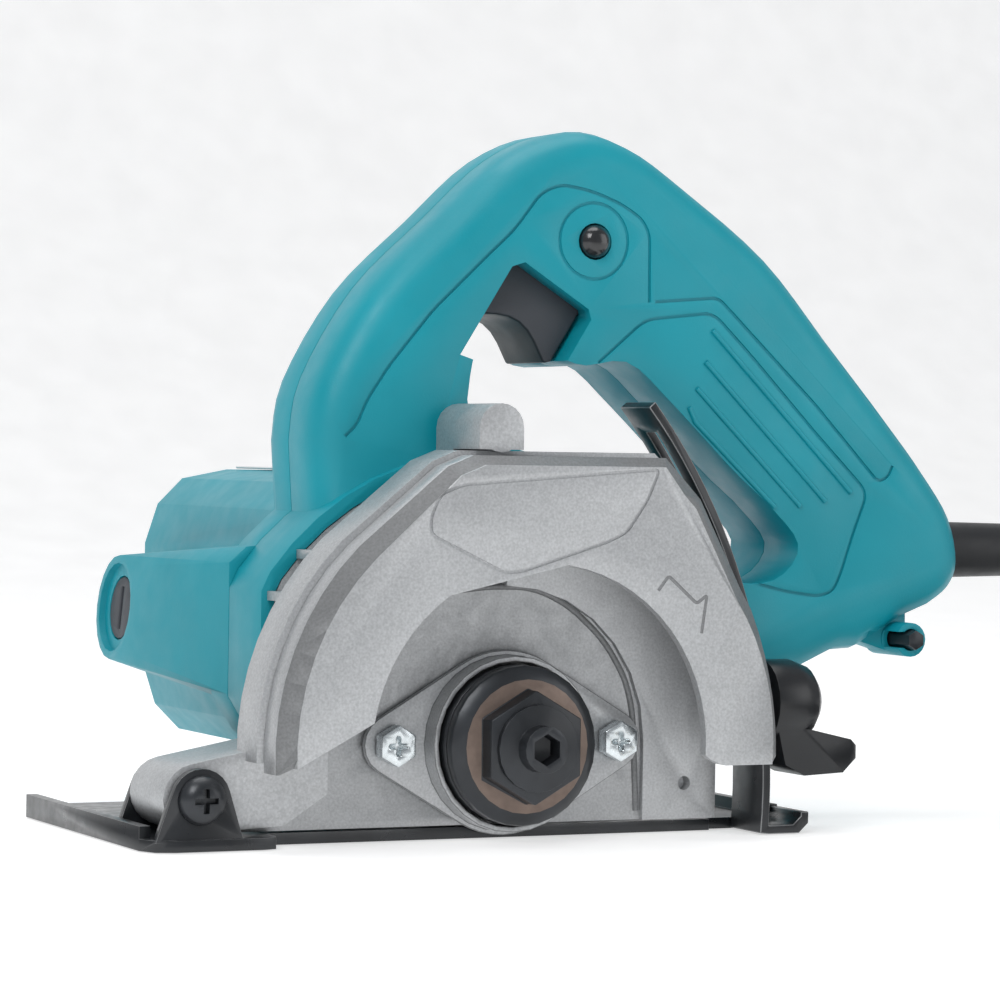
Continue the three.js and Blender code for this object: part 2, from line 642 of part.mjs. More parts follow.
piece('cooling_fan', darkPlastic, coolingFan());
piece('fan_baffle', blackPlastic, ring(
  FIELD_R + 0.8, CORE_R + 4, FAN_Y + 12.5, FAN_Y + 14.5, ARMATURE, { facets: 28 },
));
piece('field_core', carbon, ring(FIELD_R, CORE_R + 1, CORE_Y[0], CORE_Y[1], ARMATURE, { facets: 28 }));

// Brush gear: a holder, a carbon brush, its spring and a screw cap, ahead of the armature and
// behind it.
const BRUSH_HOLDER_R = 6.2;
const REAR_BRUSH_REACH = MOTOR_HALF_W - 0.5;

function brushGear(label, side, reach) {
  const at = [ARMATURE_X, BRUSH_Y, ARMATURE_Z];
  const capInner = reach - 5.5;
  const span = (a, b) => (side > 0 ? [a, b] : [-b, -a]);
  const along = { axis: 'x', facets: 16, turn: BRUSH_TILT };
  const bar = (from, to, deep, high) => {
    const [x0, x1] = span(from, to);
    const geometry = new THREE.BoxGeometry(x1 - x0, deep, high);
    geometry.translate((x0 + x1) / 2, 0, 0);
    geometry.rotateY(BRUSH_TILT * DEG);
    geometry.translate(...at);
    return solid(geometry);
  };
  piece(`brush_holder_${label}`, brass, cut(
    rod(BRUSH_HOLDER_R, ...span(12.5, capInner - GAP), at, along),
    bar(10, capInner + 2, 6.8, 4.8),
  ));
  piece(`carbon_brush_${label}`, carbon, bar(10.5 + GAP, 22, 6, 4.2));
  piece(`brush_spring_${label}`, bareSteel, rod(
    1.9, ...span(22 + GAP, capInner - GAP), at, { ...along, facets: 8 },
  ));
  piece(`brush_cap_${label}`, darkPlastic, cut(
    rod(BRUSH_CAP_D / 2, ...span(capInner, reach - 1.6), at, { ...along, facets: 20 }),
    bar(reach - 2.6, reach + 1, 1.6, 10),
  ));
}

brushGear('front', -1, BRUSH_REACH);
brushGear('rear', 1, REAR_BRUSH_REACH);

// ---------------------------------------------------------------- plastic housing and handle

// A place on the handle, as shares of its reach and rise.
function grip(reach, rise) {
  return [HANDLE_X + reach * HANDLE_REACH, HANDLE_Z + rise * HANDLE_RISE];
}

// Side view of the handle loop, its window left closed.
function handleOutline() {
  const back = new THREE.SplineCurve([
    grip(0, 0), grip(0.015, 0.19), grip(0.087, 0.473), grip(0.187, 0.7), grip(0.28, 0.897),
    grip(0.375, 0.99), grip(0.46, 0.955), grip(0.55, 0.83), grip(0.677, 0.615), grip(0.777, 0.36),
    grip(0.878, 0.1), grip(0.94, -0.07), grip(0.985, -0.22), grip(1, -0.37), grip(0.985, -0.46),
    grip(0.95, -0.52),
  ].map(([x, z]) => new THREE.Vector2(x, z)));
  return outline([
    grip(0.008, -0.28),
    ...back.getPoints(60).map((p) => [p.x, p.y]),
    grip(0.9, -0.565), grip(0.833, -0.655), grip(0.8, -0.66), grip(0.738, -0.725), grip(0.57, -0.83),
    grip(0.45, -0.75),
    grip(0.2, -0.4),
  ]);
}

// The finger window of the loop; its lower edge follows the top of the housing.
function handleWindow(options) {
  const edge = new THREE.SplineCurve([
    grip(0.216, 0.135), grip(0.225, 0.27), grip(0.25, 0.37), grip(0.285, 0.4), grip(0.335, 0.3),
    grip(0.385, 0.25), grip(0.455, 0.262), grip(0.524, 0.134), grip(0.621, -0.077),
    grip(0.684, -0.2), grip(0.725, -0.32), grip(0.69, -0.425), grip(0.62, -0.43),
    grip(0.548, -0.345), grip(0.464, -0.19), grip(0.357, -0.06), grip(0.26, 0), grip(0.222, 0.045),
  ].map(([x, z]) => new THREE.Vector2(x, z)));
  const points = edge.getPoints(60);
  return new THREE.Shape(points);
}

// Places round the trigger: along runs down its finger face, depth runs into the handle.
const TRIGGER_TOP = grip(0.246, 0.41);
const TRIGGER_SLOPE = -32;
const TRIGGER_LENGTH = 21.4;
const TRIGGER_DEPTH = 13.6;
const INTO_HANDLE = [-Math.sin(TRIGGER_SLOPE * DEG), Math.cos(TRIGGER_SLOPE * DEG)];

function byTrigger(along, depth) {
  const [u, v] = [Math.cos(TRIGGER_SLOPE * DEG), Math.sin(TRIGGER_SLOPE * DEG)];
  return [
    TRIGGER_TOP[0] + along * u + depth * INTO_HANDLE[0],
    TRIGGER_TOP[1] + along * v + depth * INTO_HANDLE[1],
  ];
}

const GRIP_NEAR_Y = SEAM_Y - HANDLE_W / 2;
const GRIP_FAR_Y = SEAM_Y + HANDLE_W / 2;
const GUARD_Z = grip(0, -0.334)[1];
const GUARD_X = grip(0.98, 0)[0];
const GUARD = [GUARD_X, SEAM_Y, GUARD_Z];
const LOCK_BUTTON = grip(0.402, 0.641);
const KEY = grip(0.902, -0.624);
const HANDLE_SCREWS = [
  grip(0.113, 0.158), grip(0.205, 0.55), grip(0.548, 0.6), grip(0.79, 0.16), grip(0.815, -0.49),
];

function handleBody() {
  const body = slab(handleOutline(), GRIP_NEAR_Y, GRIP_FAR_Y, { round: HANDLE_ROUND, roundSteps: 3 });
  const window = handleWindow();
  const flare = slab(window, GRIP_NEAR_Y - 1, GRIP_FAR_Y + 1);
  const notch = slab(outline([
    byTrigger(-GAP - 0.4, -12),
    byTrigger(-GAP - 0.4, TRIGGER_DEPTH - 2),
    byTrigger(1.5, TRIGGER_DEPTH + 0.6),
    byTrigger(TRIGGER_LENGTH - 1, TRIGGER_DEPTH + 0.6),
    byTrigger(TRIGGER_LENGTH + GAP + 0.6, TRIGGER_DEPTH - 1),
    byTrigger(TRIGGER_LENGTH + GAP + 0.6, -6),
  ]), GRIP_NEAR_Y - 1, GRIP_FAR_Y + 1);
  return cut(body, flare, notch);
}

function handleHollow() {
  const room = { inset: SHELL, round: HANDLE_ROUND - SHELL, roundSteps: 1 };
  const hollow = slab(handleOutline(), GRIP_NEAR_Y + SHELL, GRIP_FAR_Y - SHELL, room);
  const lining = slab(handleWindow(), GRIP_NEAR_Y, GRIP_FAR_Y, { inset: -SHELL });
  const triggerFrame = slab(outline([
    byTrigger(-GAP - SHELL - 0.4, -14),
    byTrigger(-GAP - SHELL - 0.4, TRIGGER_DEPTH + SHELL + 0.6),
    byTrigger(TRIGGER_LENGTH + GAP + SHELL + 0.6, TRIGGER_DEPTH + SHELL + 0.6),
    byTrigger(TRIGGER_LENGTH + GAP + SHELL + 0.6, -8),
  ]), GRIP_NEAR_Y, GRIP_FAR_Y);
  return cut(hollow, lining, triggerFrame);
}

const TRIGGER_NEAR_Y = SEAM_Y - TRIGGER_W / 2;
const TRIGGER_FAR_Y = SEAM_Y + TRIGGER_W / 2;
const TRIGGER_TAIL = 4;          // how far the trigger reaches into the handle past its notch
const triggerSlot = slab(outline([
  byTrigger(-GAP, 0),
  byTrigger(-GAP, TRIGGER_DEPTH + 12),
  byTrigger(TRIGGER_LENGTH + GAP, TRIGGER_DEPTH + 12),
  byTrigger(TRIGGER_LENGTH + GAP, 0),
]), TRIGGER_NEAR_Y - GAP, TRIGGER_FAR_Y + GAP);

function motorOutline() {
  const corner = [[1, 0.45], [0.91, 0.74], [0.73, 0.93], [0.4, 1]];
  const quarter = corner.map(([u, v]) => [u * MOTOR_HALF_W, v * MOTOR_HALF_H]);
  const backwards = [...quarter].reverse();
  const middleZ = ARMATURE_Z + MOTOR_RISE;
  const place = (points, sx, sz) => points.map(([x, z]) => [ARMATURE_X + sx * x, middleZ + sz * z]);
  return outline([
    ...place(quarter, 1, 1), ...place(backwards, -1, 1),
    ...place(quarter, -1, -1), ...place(backwards, 1, -1),
  ]);
}

function brushFairing() {
  const bossR = BRUSH_BOSS_D / 2;
  const tilt = BRUSH_TILT * DEG;
  const boss = Array.from({ length: 20 }, (_, i) => {
    const a = i * Math.PI / 10;
    const up = bossR * Math.sin(a);
    return [
      ARMATURE_X - BRUSH_REACH * Math.cos(tilt) + up * Math.sin(tilt),
      BRUSH_Y + bossR * Math.cos(a),
      ARMATURE_Z + BRUSH_REACH * Math.sin(tilt) + up * Math.cos(tilt),
    ];
  });
  const bossRoot = boss.map(([x, y, z]) => [x + 24, y, z]);
  const front = [
    [-BAND_FRONT, SEAM_Y, SPINDLE_Z + 9.4],
    [-BAND_FRONT, SEAM_Y, SPINDLE_Z + 38.5],
    [-BAND_FRONT + 4, SEAM_Y, SPINDLE_Z + 42],
    [-BAND_FRONT + 24, SEAM_Y, SPINDLE_Z + 44],
    [-BAND_FRONT + 24, SEAM_Y, SPINDLE_Z],
  ];
  return bodyBetween([...boss, ...bossRoot, ...front]);
}

function screwBosses(y0, y1, r) {
  return HANDLE_SCREWS.map(([x, z]) => rod(r, y0, y1, [x, 0, z], { facets: 10 }));
}

const KEY_CLIP_Y = [GRIP_NEAR_Y - 2, SEAM_Y - 3];

function keyClip() {
  const at = [KEY[0], 0, KEY[1]];
  const bore = KEY_AF / Math.sqrt(3) + GAP;
  const wall = bore + 1.4;
  const web = bodyBetween([
    ...[KEY_CLIP_Y[0] + 7, KEY_CLIP_Y[1]].flatMap((y) => [
      [KEY[0] + 2.6, y, KEY[1] + 1],
      [KEY[0] - 2, y, KEY[1] - 3],
      [KEY[0] - 15, y, KEY[1] + 1],
      [KEY[0] - 8, y, KEY[1] + 9],
      [KEY[0] + 2.6, y, KEY[1] + 8],
    ]),
  ]);
  const clip = rod(wall, KEY_CLIP_Y[0], KEY_CLIP_Y[1], at, { facets: 20 });
  return {
    body: join(clip, web),
    bore: join(
      rod(bore, 0, 100, at, { facets: 20 }),
      block(KEY[0] - 9, KEY[0], KEY_CLIP_Y[0] - 1, KEY_CLIP_Y[0] + 6.5, KEY[1] - 1.9, KEY[1] + 1.9),
    ),
  };
}

const handle = handleBody();
const hollow = handleHollow();
const clip = keyClip();
const guardHole = rod(GUARD_ROOT_D / 2 + GAP, -8, 30, GUARD, { axis: 'x', facets: 20 });
const guardPocket = rod(10 + GAP, -13, -8, GUARD, { axis: 'x', facets: 20 });
const keyRoom = block(KEY[0] - 9, KEY[0] + 9, KEY_CLIP_Y[0] - 5, 120, KEY[1] - 4, KEY[1] + 2.9);

function handleCover() {
  const band = slab(bandOutline(), BAND_Y, SEAM_Y - GAP / 2);
  const inside = slab(bandOutline(), BAND_Y - 1, SEAM_Y + 1, { inset: SHELL });
  const near = block(-300, 300, -10, SEAM_Y - GAP / 2, -50, 300);
  const shell = cut(join(handle.intersect(near), band), hollow, inside);
  const bosses = screwBosses(GRIP_NEAR_Y + 1.5, SEAM_Y - GAP / 2, 3.8);
  const whole = join(shell, clip.body, ...bosses);
  return cut(
    whole,
    slab(gearLobe(GAP), BAND_Y - 1, SEAM_Y + 1),
    clip.bore,
    triggerSlot,
    guardHole,
    guardPocket,
    ...screwBosses(GRIP_NEAR_Y + 5, SEAM_Y + 1, 1.7),
    rod(LOCK_BUTTON_D / 2 + GAP, 0, SEAM_Y, [LOCK_BUTTON[0], 0, LOCK_BUTTON[1]]),
  );
}

piece('handle_cover', housingPlastic, handleCover());

const BAND_END_Y = SEAM_Y + 10;

function motorHousing() {
  const far = block(-300, 300, SEAM_Y + GAP / 2, 300, -50, 300);
  const outside = join(
    handle,
    slab(bandOutline(), SEAM_Y - 1, BAND_END_Y, {}),
    slab(motorOutline(), SEAM_Y - 10, MOTOR_END_Y, { round: 6, roundSteps: 2 }),
    brushFairing(),
  ).intersect(far);
  const inside = join(
    slab(bandOutline(), SEAM_Y - 1, BAND_END_Y - SHELL, { inset: SHELL }),
    slab(motorOutline(), SEAM_Y - 2, MOTOR_END_Y - SHELL, { inset: SHELL }),
  );
  const shell = cut(outside, hollow, inside);
  const tailSeat = ring(13.4, 11 + GAP, TAIL_BEARING_Y[0], MOTOR_END_Y - 1, ARMATURE, { facets: 28 });
  const bosses = screwBosses(SEAM_Y + GAP / 2, GRIP_FAR_Y - 1.5, 5);
  const vents = Array.from({ length: 7 }, (_, i) => {
    const z = ARMATURE_Z + (i - 3) * 6.5;
    return block(
      ARMATURE_X - 20, ARMATURE_X + 20, MOTOR_END_Y - SHELL - 1, MOTOR_END_Y + 1, z - 1.5, z + 1.5,
    );
  });
  const brushes = [ARMATURE_X, BRUSH_Y, ARMATURE_Z];
  const alongBrushes = { axis: 'x', turn: BRUSH_TILT };
  const caps = rod(BRUSH_CAP_D / 2 + GAP, -80, 80, brushes, alongBrushes);
  const capRecess = rod(10.5, -BRUSH_REACH - 1, -BRUSH_REACH + 1.6, brushes, alongBrushes);
  return cut(
    join(cut(shell, ...vents), tailSeat, ...bosses),
    caps,
    capRecess,
    triggerSlot,
    guardHole,
    guardPocket,
    keyRoom,
    ...screwBosses(SEAM_Y - 1, GRIP_FAR_Y + 1, 2),
    ...screwBosses(SEAM_Y + 9, GRIP_FAR_Y + 1, 3.8),
  );
}

piece('motor_housing', housingPlastic, motorHousing());

HANDLE_SCREWS.forEach(([x, z], i) => {
  piece(`handle_screw_${i + 1}`, blackSteel, join(
    rod(1.4, GRIP_NEAR_Y + 6, SEAM_Y + 10, [x, 0, z], { facets: 8 }),
    rod(3.4, SEAM_Y + 9 + GAP, SEAM_Y + 11.8, [x, 0, z], { facets: 12 }),
  ));
});

piece('rating_plate', plateFoil, block(
  ARMATURE_X - MOTOR_HALF_W * 0.4, ARMATURE_X + MOTOR_HALF_W * 0.4, BAND_END_Y + 6, MOTOR_END_Y - 12,
  ARMATURE_Z + MOTOR_RISE + MOTOR_HALF_H + GAP, ARMATURE_Z + MOTOR_RISE + MOTOR_HALF_H + GAP + 0.6,
));

// ---------------------------------------------------------------- switch, trigger and key

const fingerDip = Array.from({ length: 7 }, (_, i) => {
  const along = 1.6 + i * (TRIGGER_LENGTH - 5) / 6;
  return byTrigger(along, 3.2 * Math.sin(i * Math.PI / 6) + 0.6);
});

piece('trigger', darkPlastic, slab(outline([
  byTrigger(0, 2.2),
  ...fingerDip,
  byTrigger(TRIGGER_LENGTH - 1.4, -0.6),
  byTrigger(TRIGGER_LENGTH, 0.8),
  byTrigger(TRIGGER_LENGTH, TRIGGER_DEPTH + TRIGGER_TAIL),
  byTrigger(0, TRIGGER_DEPTH + TRIGGER_TAIL),
]), TRIGGER_NEAR_Y, TRIGGER_FAR_Y));

const SWITCH_DEPTH = TRIGGER_DEPTH + TRIGGER_TAIL + TRIGGER_TRAVEL + 0.6;

piece('switch_body', blackPlastic, slab(outline([
  byTrigger(-1, SWITCH_DEPTH),
  byTrigger(TRIGGER_LENGTH + 1, SWITCH_DEPTH),
  byTrigger(TRIGGER_LENGTH + 1, SWITCH_DEPTH + 12.5),
  byTrigger(-1, SWITCH_DEPTH + 12.5),
]), SEAM_Y - 7, SEAM_Y + 7));

piece('lock_button', blackPlastic, turned([
  [0, GRIP_NEAR_Y - 2.4],
  [LOCK_BUTTON_D / 2 - 1.6, GRIP_NEAR_Y - 2.1],
  [LOCK_BUTTON_D / 2, GRIP_NEAR_Y - 0.4],
  [LOCK_BUTTON_D / 2, SEAM_Y - 7 - LOCK_BUTTON_TRAVEL - GAP],
  [0, SEAM_Y - 7 - LOCK_BUTTON_TRAVEL - GAP],
], [LOCK_BUTTON[0], 0, LOCK_BUTTON[1]], { facets: 20 }));

piece('cord_clamp', darkPlastic, block(
  GUARD_X - 24, GUARD_X - 18, SEAM_Y - 9, SEAM_Y + 9, GUARD_Z + 5.5, GUARD_Z + 9,
));

// Tube of a given radius through points, with flat ends.
function cable(points, r, steps, facets) {
  const path = new THREE.CatmullRomCurve3(points.map((p) => new THREE.Vector3(...p)), false, 'centripetal');
  const circle = new THREE.Shape();
  circle.absarc(0, 0, r, 0, 2 * Math.PI, false);
  return solid(new THREE.ExtrudeGeometry(circle, {
    steps, curveSegments: facets / 2, extrudePath: path, bevelEnabled: false,
  }));
}

const LEAD_START = [GUARD_X - 13.44, grip(0.9, -0.334)[1]];
const leadRoute = [
  LEAD_START, grip(0.85, -0.325), grip(0.775, -0.2), grip(0.71, -0.08),
  grip(0.645, 0.06), grip(0.57, 0.22), grip(0.52, 0.33),
];

piece('inner_lead', insulation, cable(
  leadRoute.map(([x, z]) => [x, SEAM_Y, z]), 3, 16, 8,
));

const KEY_END_Y = GRIP_NEAR_Y - 4.5;
const KEY_BEND = [KEY[0], KEY_END_Y + KEY_ARM - KEY_AF / 2, KEY[1]];

piece('hex_key', blackSteel, join(
  hexagon(KEY_AF, KEY_END_Y, KEY_END_Y + KEY_ARM, [KEY[0], 0, KEY[1]]),
  hexagon(KEY_AF, -KEY_SHORT_ARM, KEY_AF / 2, KEY_BEND, 'z'),
));

// ---------------------------------------------------------------- base plate and depth guide

function ear(y) {
  const foot = BASE_T - 0.5;
  return slab(outline([
    [PIVOT_X - EAR_R - 3.5, foot],
    ...arc(PIVOT_X, PIVOT_Z, EAR_R, 165, 15, 10),
    [PIVOT_X + EAR_R + 3, foot],
  ]), y - EAR_T / 2, y + EAR_T / 2);
}

const BASE_FRONT = PIVOT_X - BASE_TOE;
const BASE_REAR = PIVOT_X + GUIDE_R + GUIDE_FOOT;
const BASE_FAR_Y = BASE_NEAR_Y + BASE_WIDTH;

function basePlate() {
  const toe = PIVOT_X + 18;
  const nearRear = GUIDE_NEAR_Y + GUIDE_W + GAP;
  const rearStep = PIVOT_X + GUIDE_R - 8;
  const plan = outline([
    [BASE_FRONT, BASE_NEAR_Y + 6],
    [BASE_FRONT + 2, BASE_NEAR_Y + 1.5],
    [BASE_FRONT + 6, BASE_NEAR_Y],
    [toe - 4, BASE_NEAR_Y],
    [toe - 1, BASE_NEAR_Y + 1],
    [toe, BASE_NEAR_Y + 4],
    [toe, BASE_MID_Y],
    [rearStep, BASE_MID_Y],
    [rearStep, nearRear],
    [BASE_REAR, nearRear],
    [BASE_REAR, BASE_FAR_Y - 4],
    [BASE_REAR - 4, BASE_FAR_Y],
    [BASE_FRONT + 4, BASE_FAR_Y],
    [BASE_FRONT, BASE_FAR_Y - 4],
  ]);
  const lip = (x, side, y0) => bodyBetween([
    [x, y0, 0], [x - side * BASE_T, y0, 0], [x, y0, BASE_LIP], [x - side * BASE_T, y0, BASE_LIP],
    [x, BASE_FAR_Y - 4, 0], [x - side * BASE_T, BASE_FAR_Y - 4, 0],
    [x, BASE_FAR_Y - 4, BASE_LIP], [x - side * BASE_T, BASE_FAR_Y - 4, BASE_LIP],
  ]);
  return cut(
    join(
      sheet(plan, 0, BASE_T),
      lip(BASE_FRONT, -1, BASE_NEAR_Y + 6),
      lip(BASE_REAR, 1, nearRear),
      ear(NEAR_EAR_Y),
      ear(FAR_EAR_Y),
    ),
    rod(PIVOT_SCREW_D / 2 + GAP, 0, 60, PIVOT, { facets: 16 }),
  );
}

piece('base_plate', blackSteel, basePlate());

function depthGuide() {
  const outer = GUIDE_R + GUIDE_T / 2;
  const footAngle = Math.asin((GUIDE_T - PIVOT_Z) / GUIDE_R) / DEG;
  const strip = slab(outline([
    ...arc(PIVOT_X, PIVOT_Z, GUIDE_INNER_R, footAngle - 0.8, GUIDE_TOP_ANGLE, 22),
    ...arc(PIVOT_X, PIVOT_Z, outer, GUIDE_TOP_ANGLE, footAngle, 22),
    [BASE_REAR - 4, GUIDE_T],
    [BASE_REAR - GUIDE_T, GUIDE_T + 1.8],
    [BASE_REAR - GUIDE_T, BASE_LIP - 0.4],
    [BASE_REAR, BASE_LIP - 0.4],
    [BASE_REAR, 2.2],
    [BASE_REAR - 2.4, 0],
    [PIVOT_X + GUIDE_R + 1, 0],
  ]), GUIDE_NEAR_Y, GUIDE_NEAR_Y + GUIDE_W);
  const slot = slab(outline([
    ...arc(PIVOT_X, PIVOT_Z, GUIDE_R - 4, 4, GUIDE_TOP_ANGLE - 3, 12),
    ...arc(PIVOT_X, PIVOT_Z, GUIDE_R + 4, GUIDE_TOP_ANGLE - 3, 4, 12),
  ]), GUIDE_MID_Y - GUIDE_SLOT_W / 2, GUIDE_MID_Y + GUIDE_SLOT_W / 2);
  return cut(strip, slot);
}

piece('depth_guide', blackSteel, depthGuide());

piece('pivot_screw', blackSteel, cut(
  join(
    turned([
      [0, -3.4], [2.8, -3.1], [4.7, -2], [5.25, -0.6], [5.25, -GAP], [0, -GAP],
    ], [PIVOT_X, NEAR_EAR_Y - EAR_T / 2, PIVOT_Z], { facets: 24 }),
    rod(PIVOT_SCREW_D / 2, NEAR_EAR_Y - 2, FAR_EAR_Y + 4, PIVOT, { facets: 16 }),
  ),
  block(PIVOT_X - 2.6, PIVOT_X + 2.6, 0, NEAR_EAR_Y - 2.2, PIVOT_Z - 0.6, PIVOT_Z + 0.6),
  block(PIVOT_X - 0.6, PIVOT_X + 0.6, 0, NEAR_EAR_Y - 2.2, PIVOT_Z - 2.6, PIVOT_Z + 2.6),
));

piece('pivot_nut', zincSteel, cut(
  hexagon(8, FAR_EAR_Y + EAR_T / 2 + GAP, FAR_EAR_Y + EAR_T / 2 + 4, PIVOT),
  rod(PIVOT_SCREW_D / 2 + 0.2, 0, 60, PIVOT, { facets: 16 }),
));

// ---------------------------------------------------------------- depth lever

const LEVER_X = PIVOT_X + GUIDE_R + GUIDE_T / 2 + 0.8;
const LEVER_AT = [0, GUIDE_MID_Y, CLAMP_Z];

piece('lever_bolt', zincSteel, rod(
  GUIDE_SLOT_W / 2 - GAP, CAVITY_R - 2, LEVER_X + 14, LEVER_AT, { axis: 'x', facets: 12 },
));

function depthLever() {
  const r = LEVER_HUB_D / 2;
  const hub = turned([
    [0, LEVER_X],
    [r, LEVER_X],
    [r, LEVER_X + 7],
    [r - 1.5, LEVER_X + 11],
    [r - 4, LEVER_X + 13],
    [0, LEVER_X + 13],
  ], LEVER_AT, { axis: 'x', facets: 24 });
  const [y0, y1] = [GUIDE_MID_Y - 7, GUIDE_MID_Y + 7];
  const paddle = bodyBetween([y0, y1].flatMap((y) => [
    [LEVER_X + 1, y, CLAMP_Z - 6],
    [LEVER_X + 3, y, CLAMP_Z - 14],
    [LEVER_X + 8, y, CLAMP_Z - 16.5],
    [LEVER_X + 18, y, CLAMP_Z - 16],
    [LEVER_X + 22.5, y + (y > GUIDE_MID_Y ? -2 : 2), CLAMP_Z - 13],
    [LEVER_X + 22.5, y + (y > GUIDE_MID_Y ? -2 : 2), CLAMP_Z - 10],
    [LEVER_X + 20, y, CLAMP_Z - 8.5],
    [LEVER_X + 9, y, CLAMP_Z - 6],
  ]));
  const bore = rod(GUIDE_SLOT_W / 2, 0, LEVER_X + 14.5, LEVER_AT, { axis: 'x', facets: 12 });
  return cut(join(hub, paddle), bore);
}

piece('depth_lever', blackPlastic, depthLever());

// ---------------------------------------------------------------- cord

piece('cord_guard', rubber, turned([
  [0, -12.7], [10, -12.7], [10, -8.3], [GUARD_ROOT_D / 2, -8.3],
  [GUARD_ROOT_D / 2, 0], [GUARD_TIP_D / 2, GUARD_LENGTH], [0, GUARD_LENGTH],
], GUARD, { axis: 'x', facets: 20 }));

const CORD_R = CORD_D / 2;
const CORD_EXIT_X = GUARD_X + GUARD_LENGTH + GAP;
const COIL = [CORD_EXIT_X + 1, -20];
const COIL_R = [CORD_COIL_MEAN_D / 2 - 2 * CORD_D, CORD_COIL_MEAN_D / 2 + 2 * CORD_D];
const COIL_TOP = 2 * CORD_D;

// Route of the free cord, from the tip of its guard down onto the coil.
const cordRoute = [
  [CORD_EXIT_X, SEAM_Y, GUARD_Z],
  [CORD_EXIT_X + 12, SEAM_Y, GUARD_Z],
  [CORD_EXIT_X + 29, 46.5, 60],
  [CORD_EXIT_X + 45, 37.5, 51],
  [CORD_EXIT_X + 56, 22, 38],
  [COIL[0] + COIL_R[1] - CORD_R - 0.5, 4, 27],
  [COIL[0] + COIL_R[1] - CORD_R, -10, 21.8],
  [COIL[0] + COIL_R[1] - CORD_R, -20, COIL_TOP + CORD_R + GAP],
];

const PLUG = [COIL[0] - 24, COIL[1] - COIL_R[1] - CORD_R - 1, 9];
const PLUG_SIZE = [40, 36, 18];
const PIN_D = 4.8;
const PIN_LENGTH = 19;
const PIN_SPACING = 19;

const tailRoute = [
  [COIL[0], PLUG[1], CORD_R],
  [COIL[0] - 9, PLUG[1], CORD_R + 0.8],
  [PLUG[0] + 8, PLUG[1], PLUG[2]],
  [PLUG[0] + GAP, PLUG[1], PLUG[2]],
];

function plugBody() {
  const [x, y, z] = PLUG;
  const [length, width, height] = PLUG_SIZE;
  const corner = [[1, 0.6], [0.6, 1], [-0.6, 1], [-1, 0.6]];
  const eight = [...corner, ...corner.map(([u, v]) => [-u, -v])];
  const section = (at, wide, high) => eight.map(([u, v]) => [at, y + u * wide / 2, z + v * high / 2]);
  return bodyBetween([
    ...section(x, 11, 11),
    ...section(x - 12, 15, 13),
    ...section(x - length * 0.62, width, height),
    ...section(x - length, width, height),
  ]);
}

piece('cord', rubber, cable(cordRoute, CORD_R, 9, 10));
piece('cord_coil', rubber, ring(
  COIL_R[1], COIL_R[0], 0, COIL_TOP, [COIL[0], COIL[1], 0], { axis: 'z', facets: 36 },
));
piece('cord_tail', rubber, cable(tailRoute, CORD_R, 3, 10));
piece('plug', blackPlastic, plugBody());
[-1, 1].forEach((side, i) => {
  const root = PLUG[0] - PLUG_SIZE[0] - GAP;
  const at = [0, PLUG[1] + side * PIN_SPACING / 2, PLUG[2]];
  piece(`plug_pin_${i + 1}`, brass, rod(PIN_D / 2, root - PIN_LENGTH, root, at, { axis: 'x', facets: 10 }));
});

// ---------------------------------------------------------------- assembly

const CORD_NODES = ['cord', 'cord_coil', 'cord_tail', 'plug', 'plug_pin_1', 'plug_pin_2', 'cord_guard'];

const group = new THREE.Group();
group.add(...pieces);

const footprint = new THREE.Box3();
for (const part of pieces.filter(({ name }) => !CORD_NODES.includes(name))) {
  part.geometry.computeBoundingBox();
  footprint.union(part.geometry.boundingBox);
}
const middle = footprint.getCenter(new THREE.Vector3());
group.position.set(-middle.x, -middle.y, -footprint.min.z);

export default group;
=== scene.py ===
"""Looks of a hand-held trim saw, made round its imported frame."""

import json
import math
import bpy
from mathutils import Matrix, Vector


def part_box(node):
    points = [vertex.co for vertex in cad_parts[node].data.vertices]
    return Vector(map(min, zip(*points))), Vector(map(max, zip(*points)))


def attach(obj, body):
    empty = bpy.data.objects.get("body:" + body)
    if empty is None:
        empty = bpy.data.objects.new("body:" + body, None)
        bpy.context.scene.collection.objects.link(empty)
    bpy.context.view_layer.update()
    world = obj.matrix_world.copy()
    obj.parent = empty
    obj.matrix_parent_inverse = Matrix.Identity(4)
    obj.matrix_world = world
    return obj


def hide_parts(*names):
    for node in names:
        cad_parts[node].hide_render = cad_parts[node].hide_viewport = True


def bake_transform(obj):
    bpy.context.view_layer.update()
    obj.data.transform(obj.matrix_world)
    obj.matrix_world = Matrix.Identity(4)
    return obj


bl_info = {
    "name": "Trim saw",
    "version": (1, 0, 0),
    "blender": (4, 5, 0),
    "location": "View3D > Sidebar > Trim saw",
    "description": "Makes the visible pieces, finishes, cord and stage of a hand-held trim saw",
    "category": "Object",
}

import bmesh
import bpy
from bpy.props import FloatProperty, FloatVectorProperty, IntProperty, PointerProperty
from mathutils import Matrix, Vector

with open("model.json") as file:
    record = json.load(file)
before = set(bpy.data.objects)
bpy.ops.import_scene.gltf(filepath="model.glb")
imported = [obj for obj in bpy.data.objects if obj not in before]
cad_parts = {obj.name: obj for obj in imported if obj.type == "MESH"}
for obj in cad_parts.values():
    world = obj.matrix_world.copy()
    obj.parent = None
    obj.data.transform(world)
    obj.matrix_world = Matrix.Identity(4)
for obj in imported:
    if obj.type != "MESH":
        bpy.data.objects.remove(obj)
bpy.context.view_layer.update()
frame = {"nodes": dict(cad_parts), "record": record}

MM = 0.001
BODY_OF = {
    node: body
    for body, nodes in frame["record"]["behaviour"]["bodies"].items()
    for node in nodes
}


def middle(node):
    """Middle of a node's box."""
    low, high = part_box(node)
    return (low + high) / 2


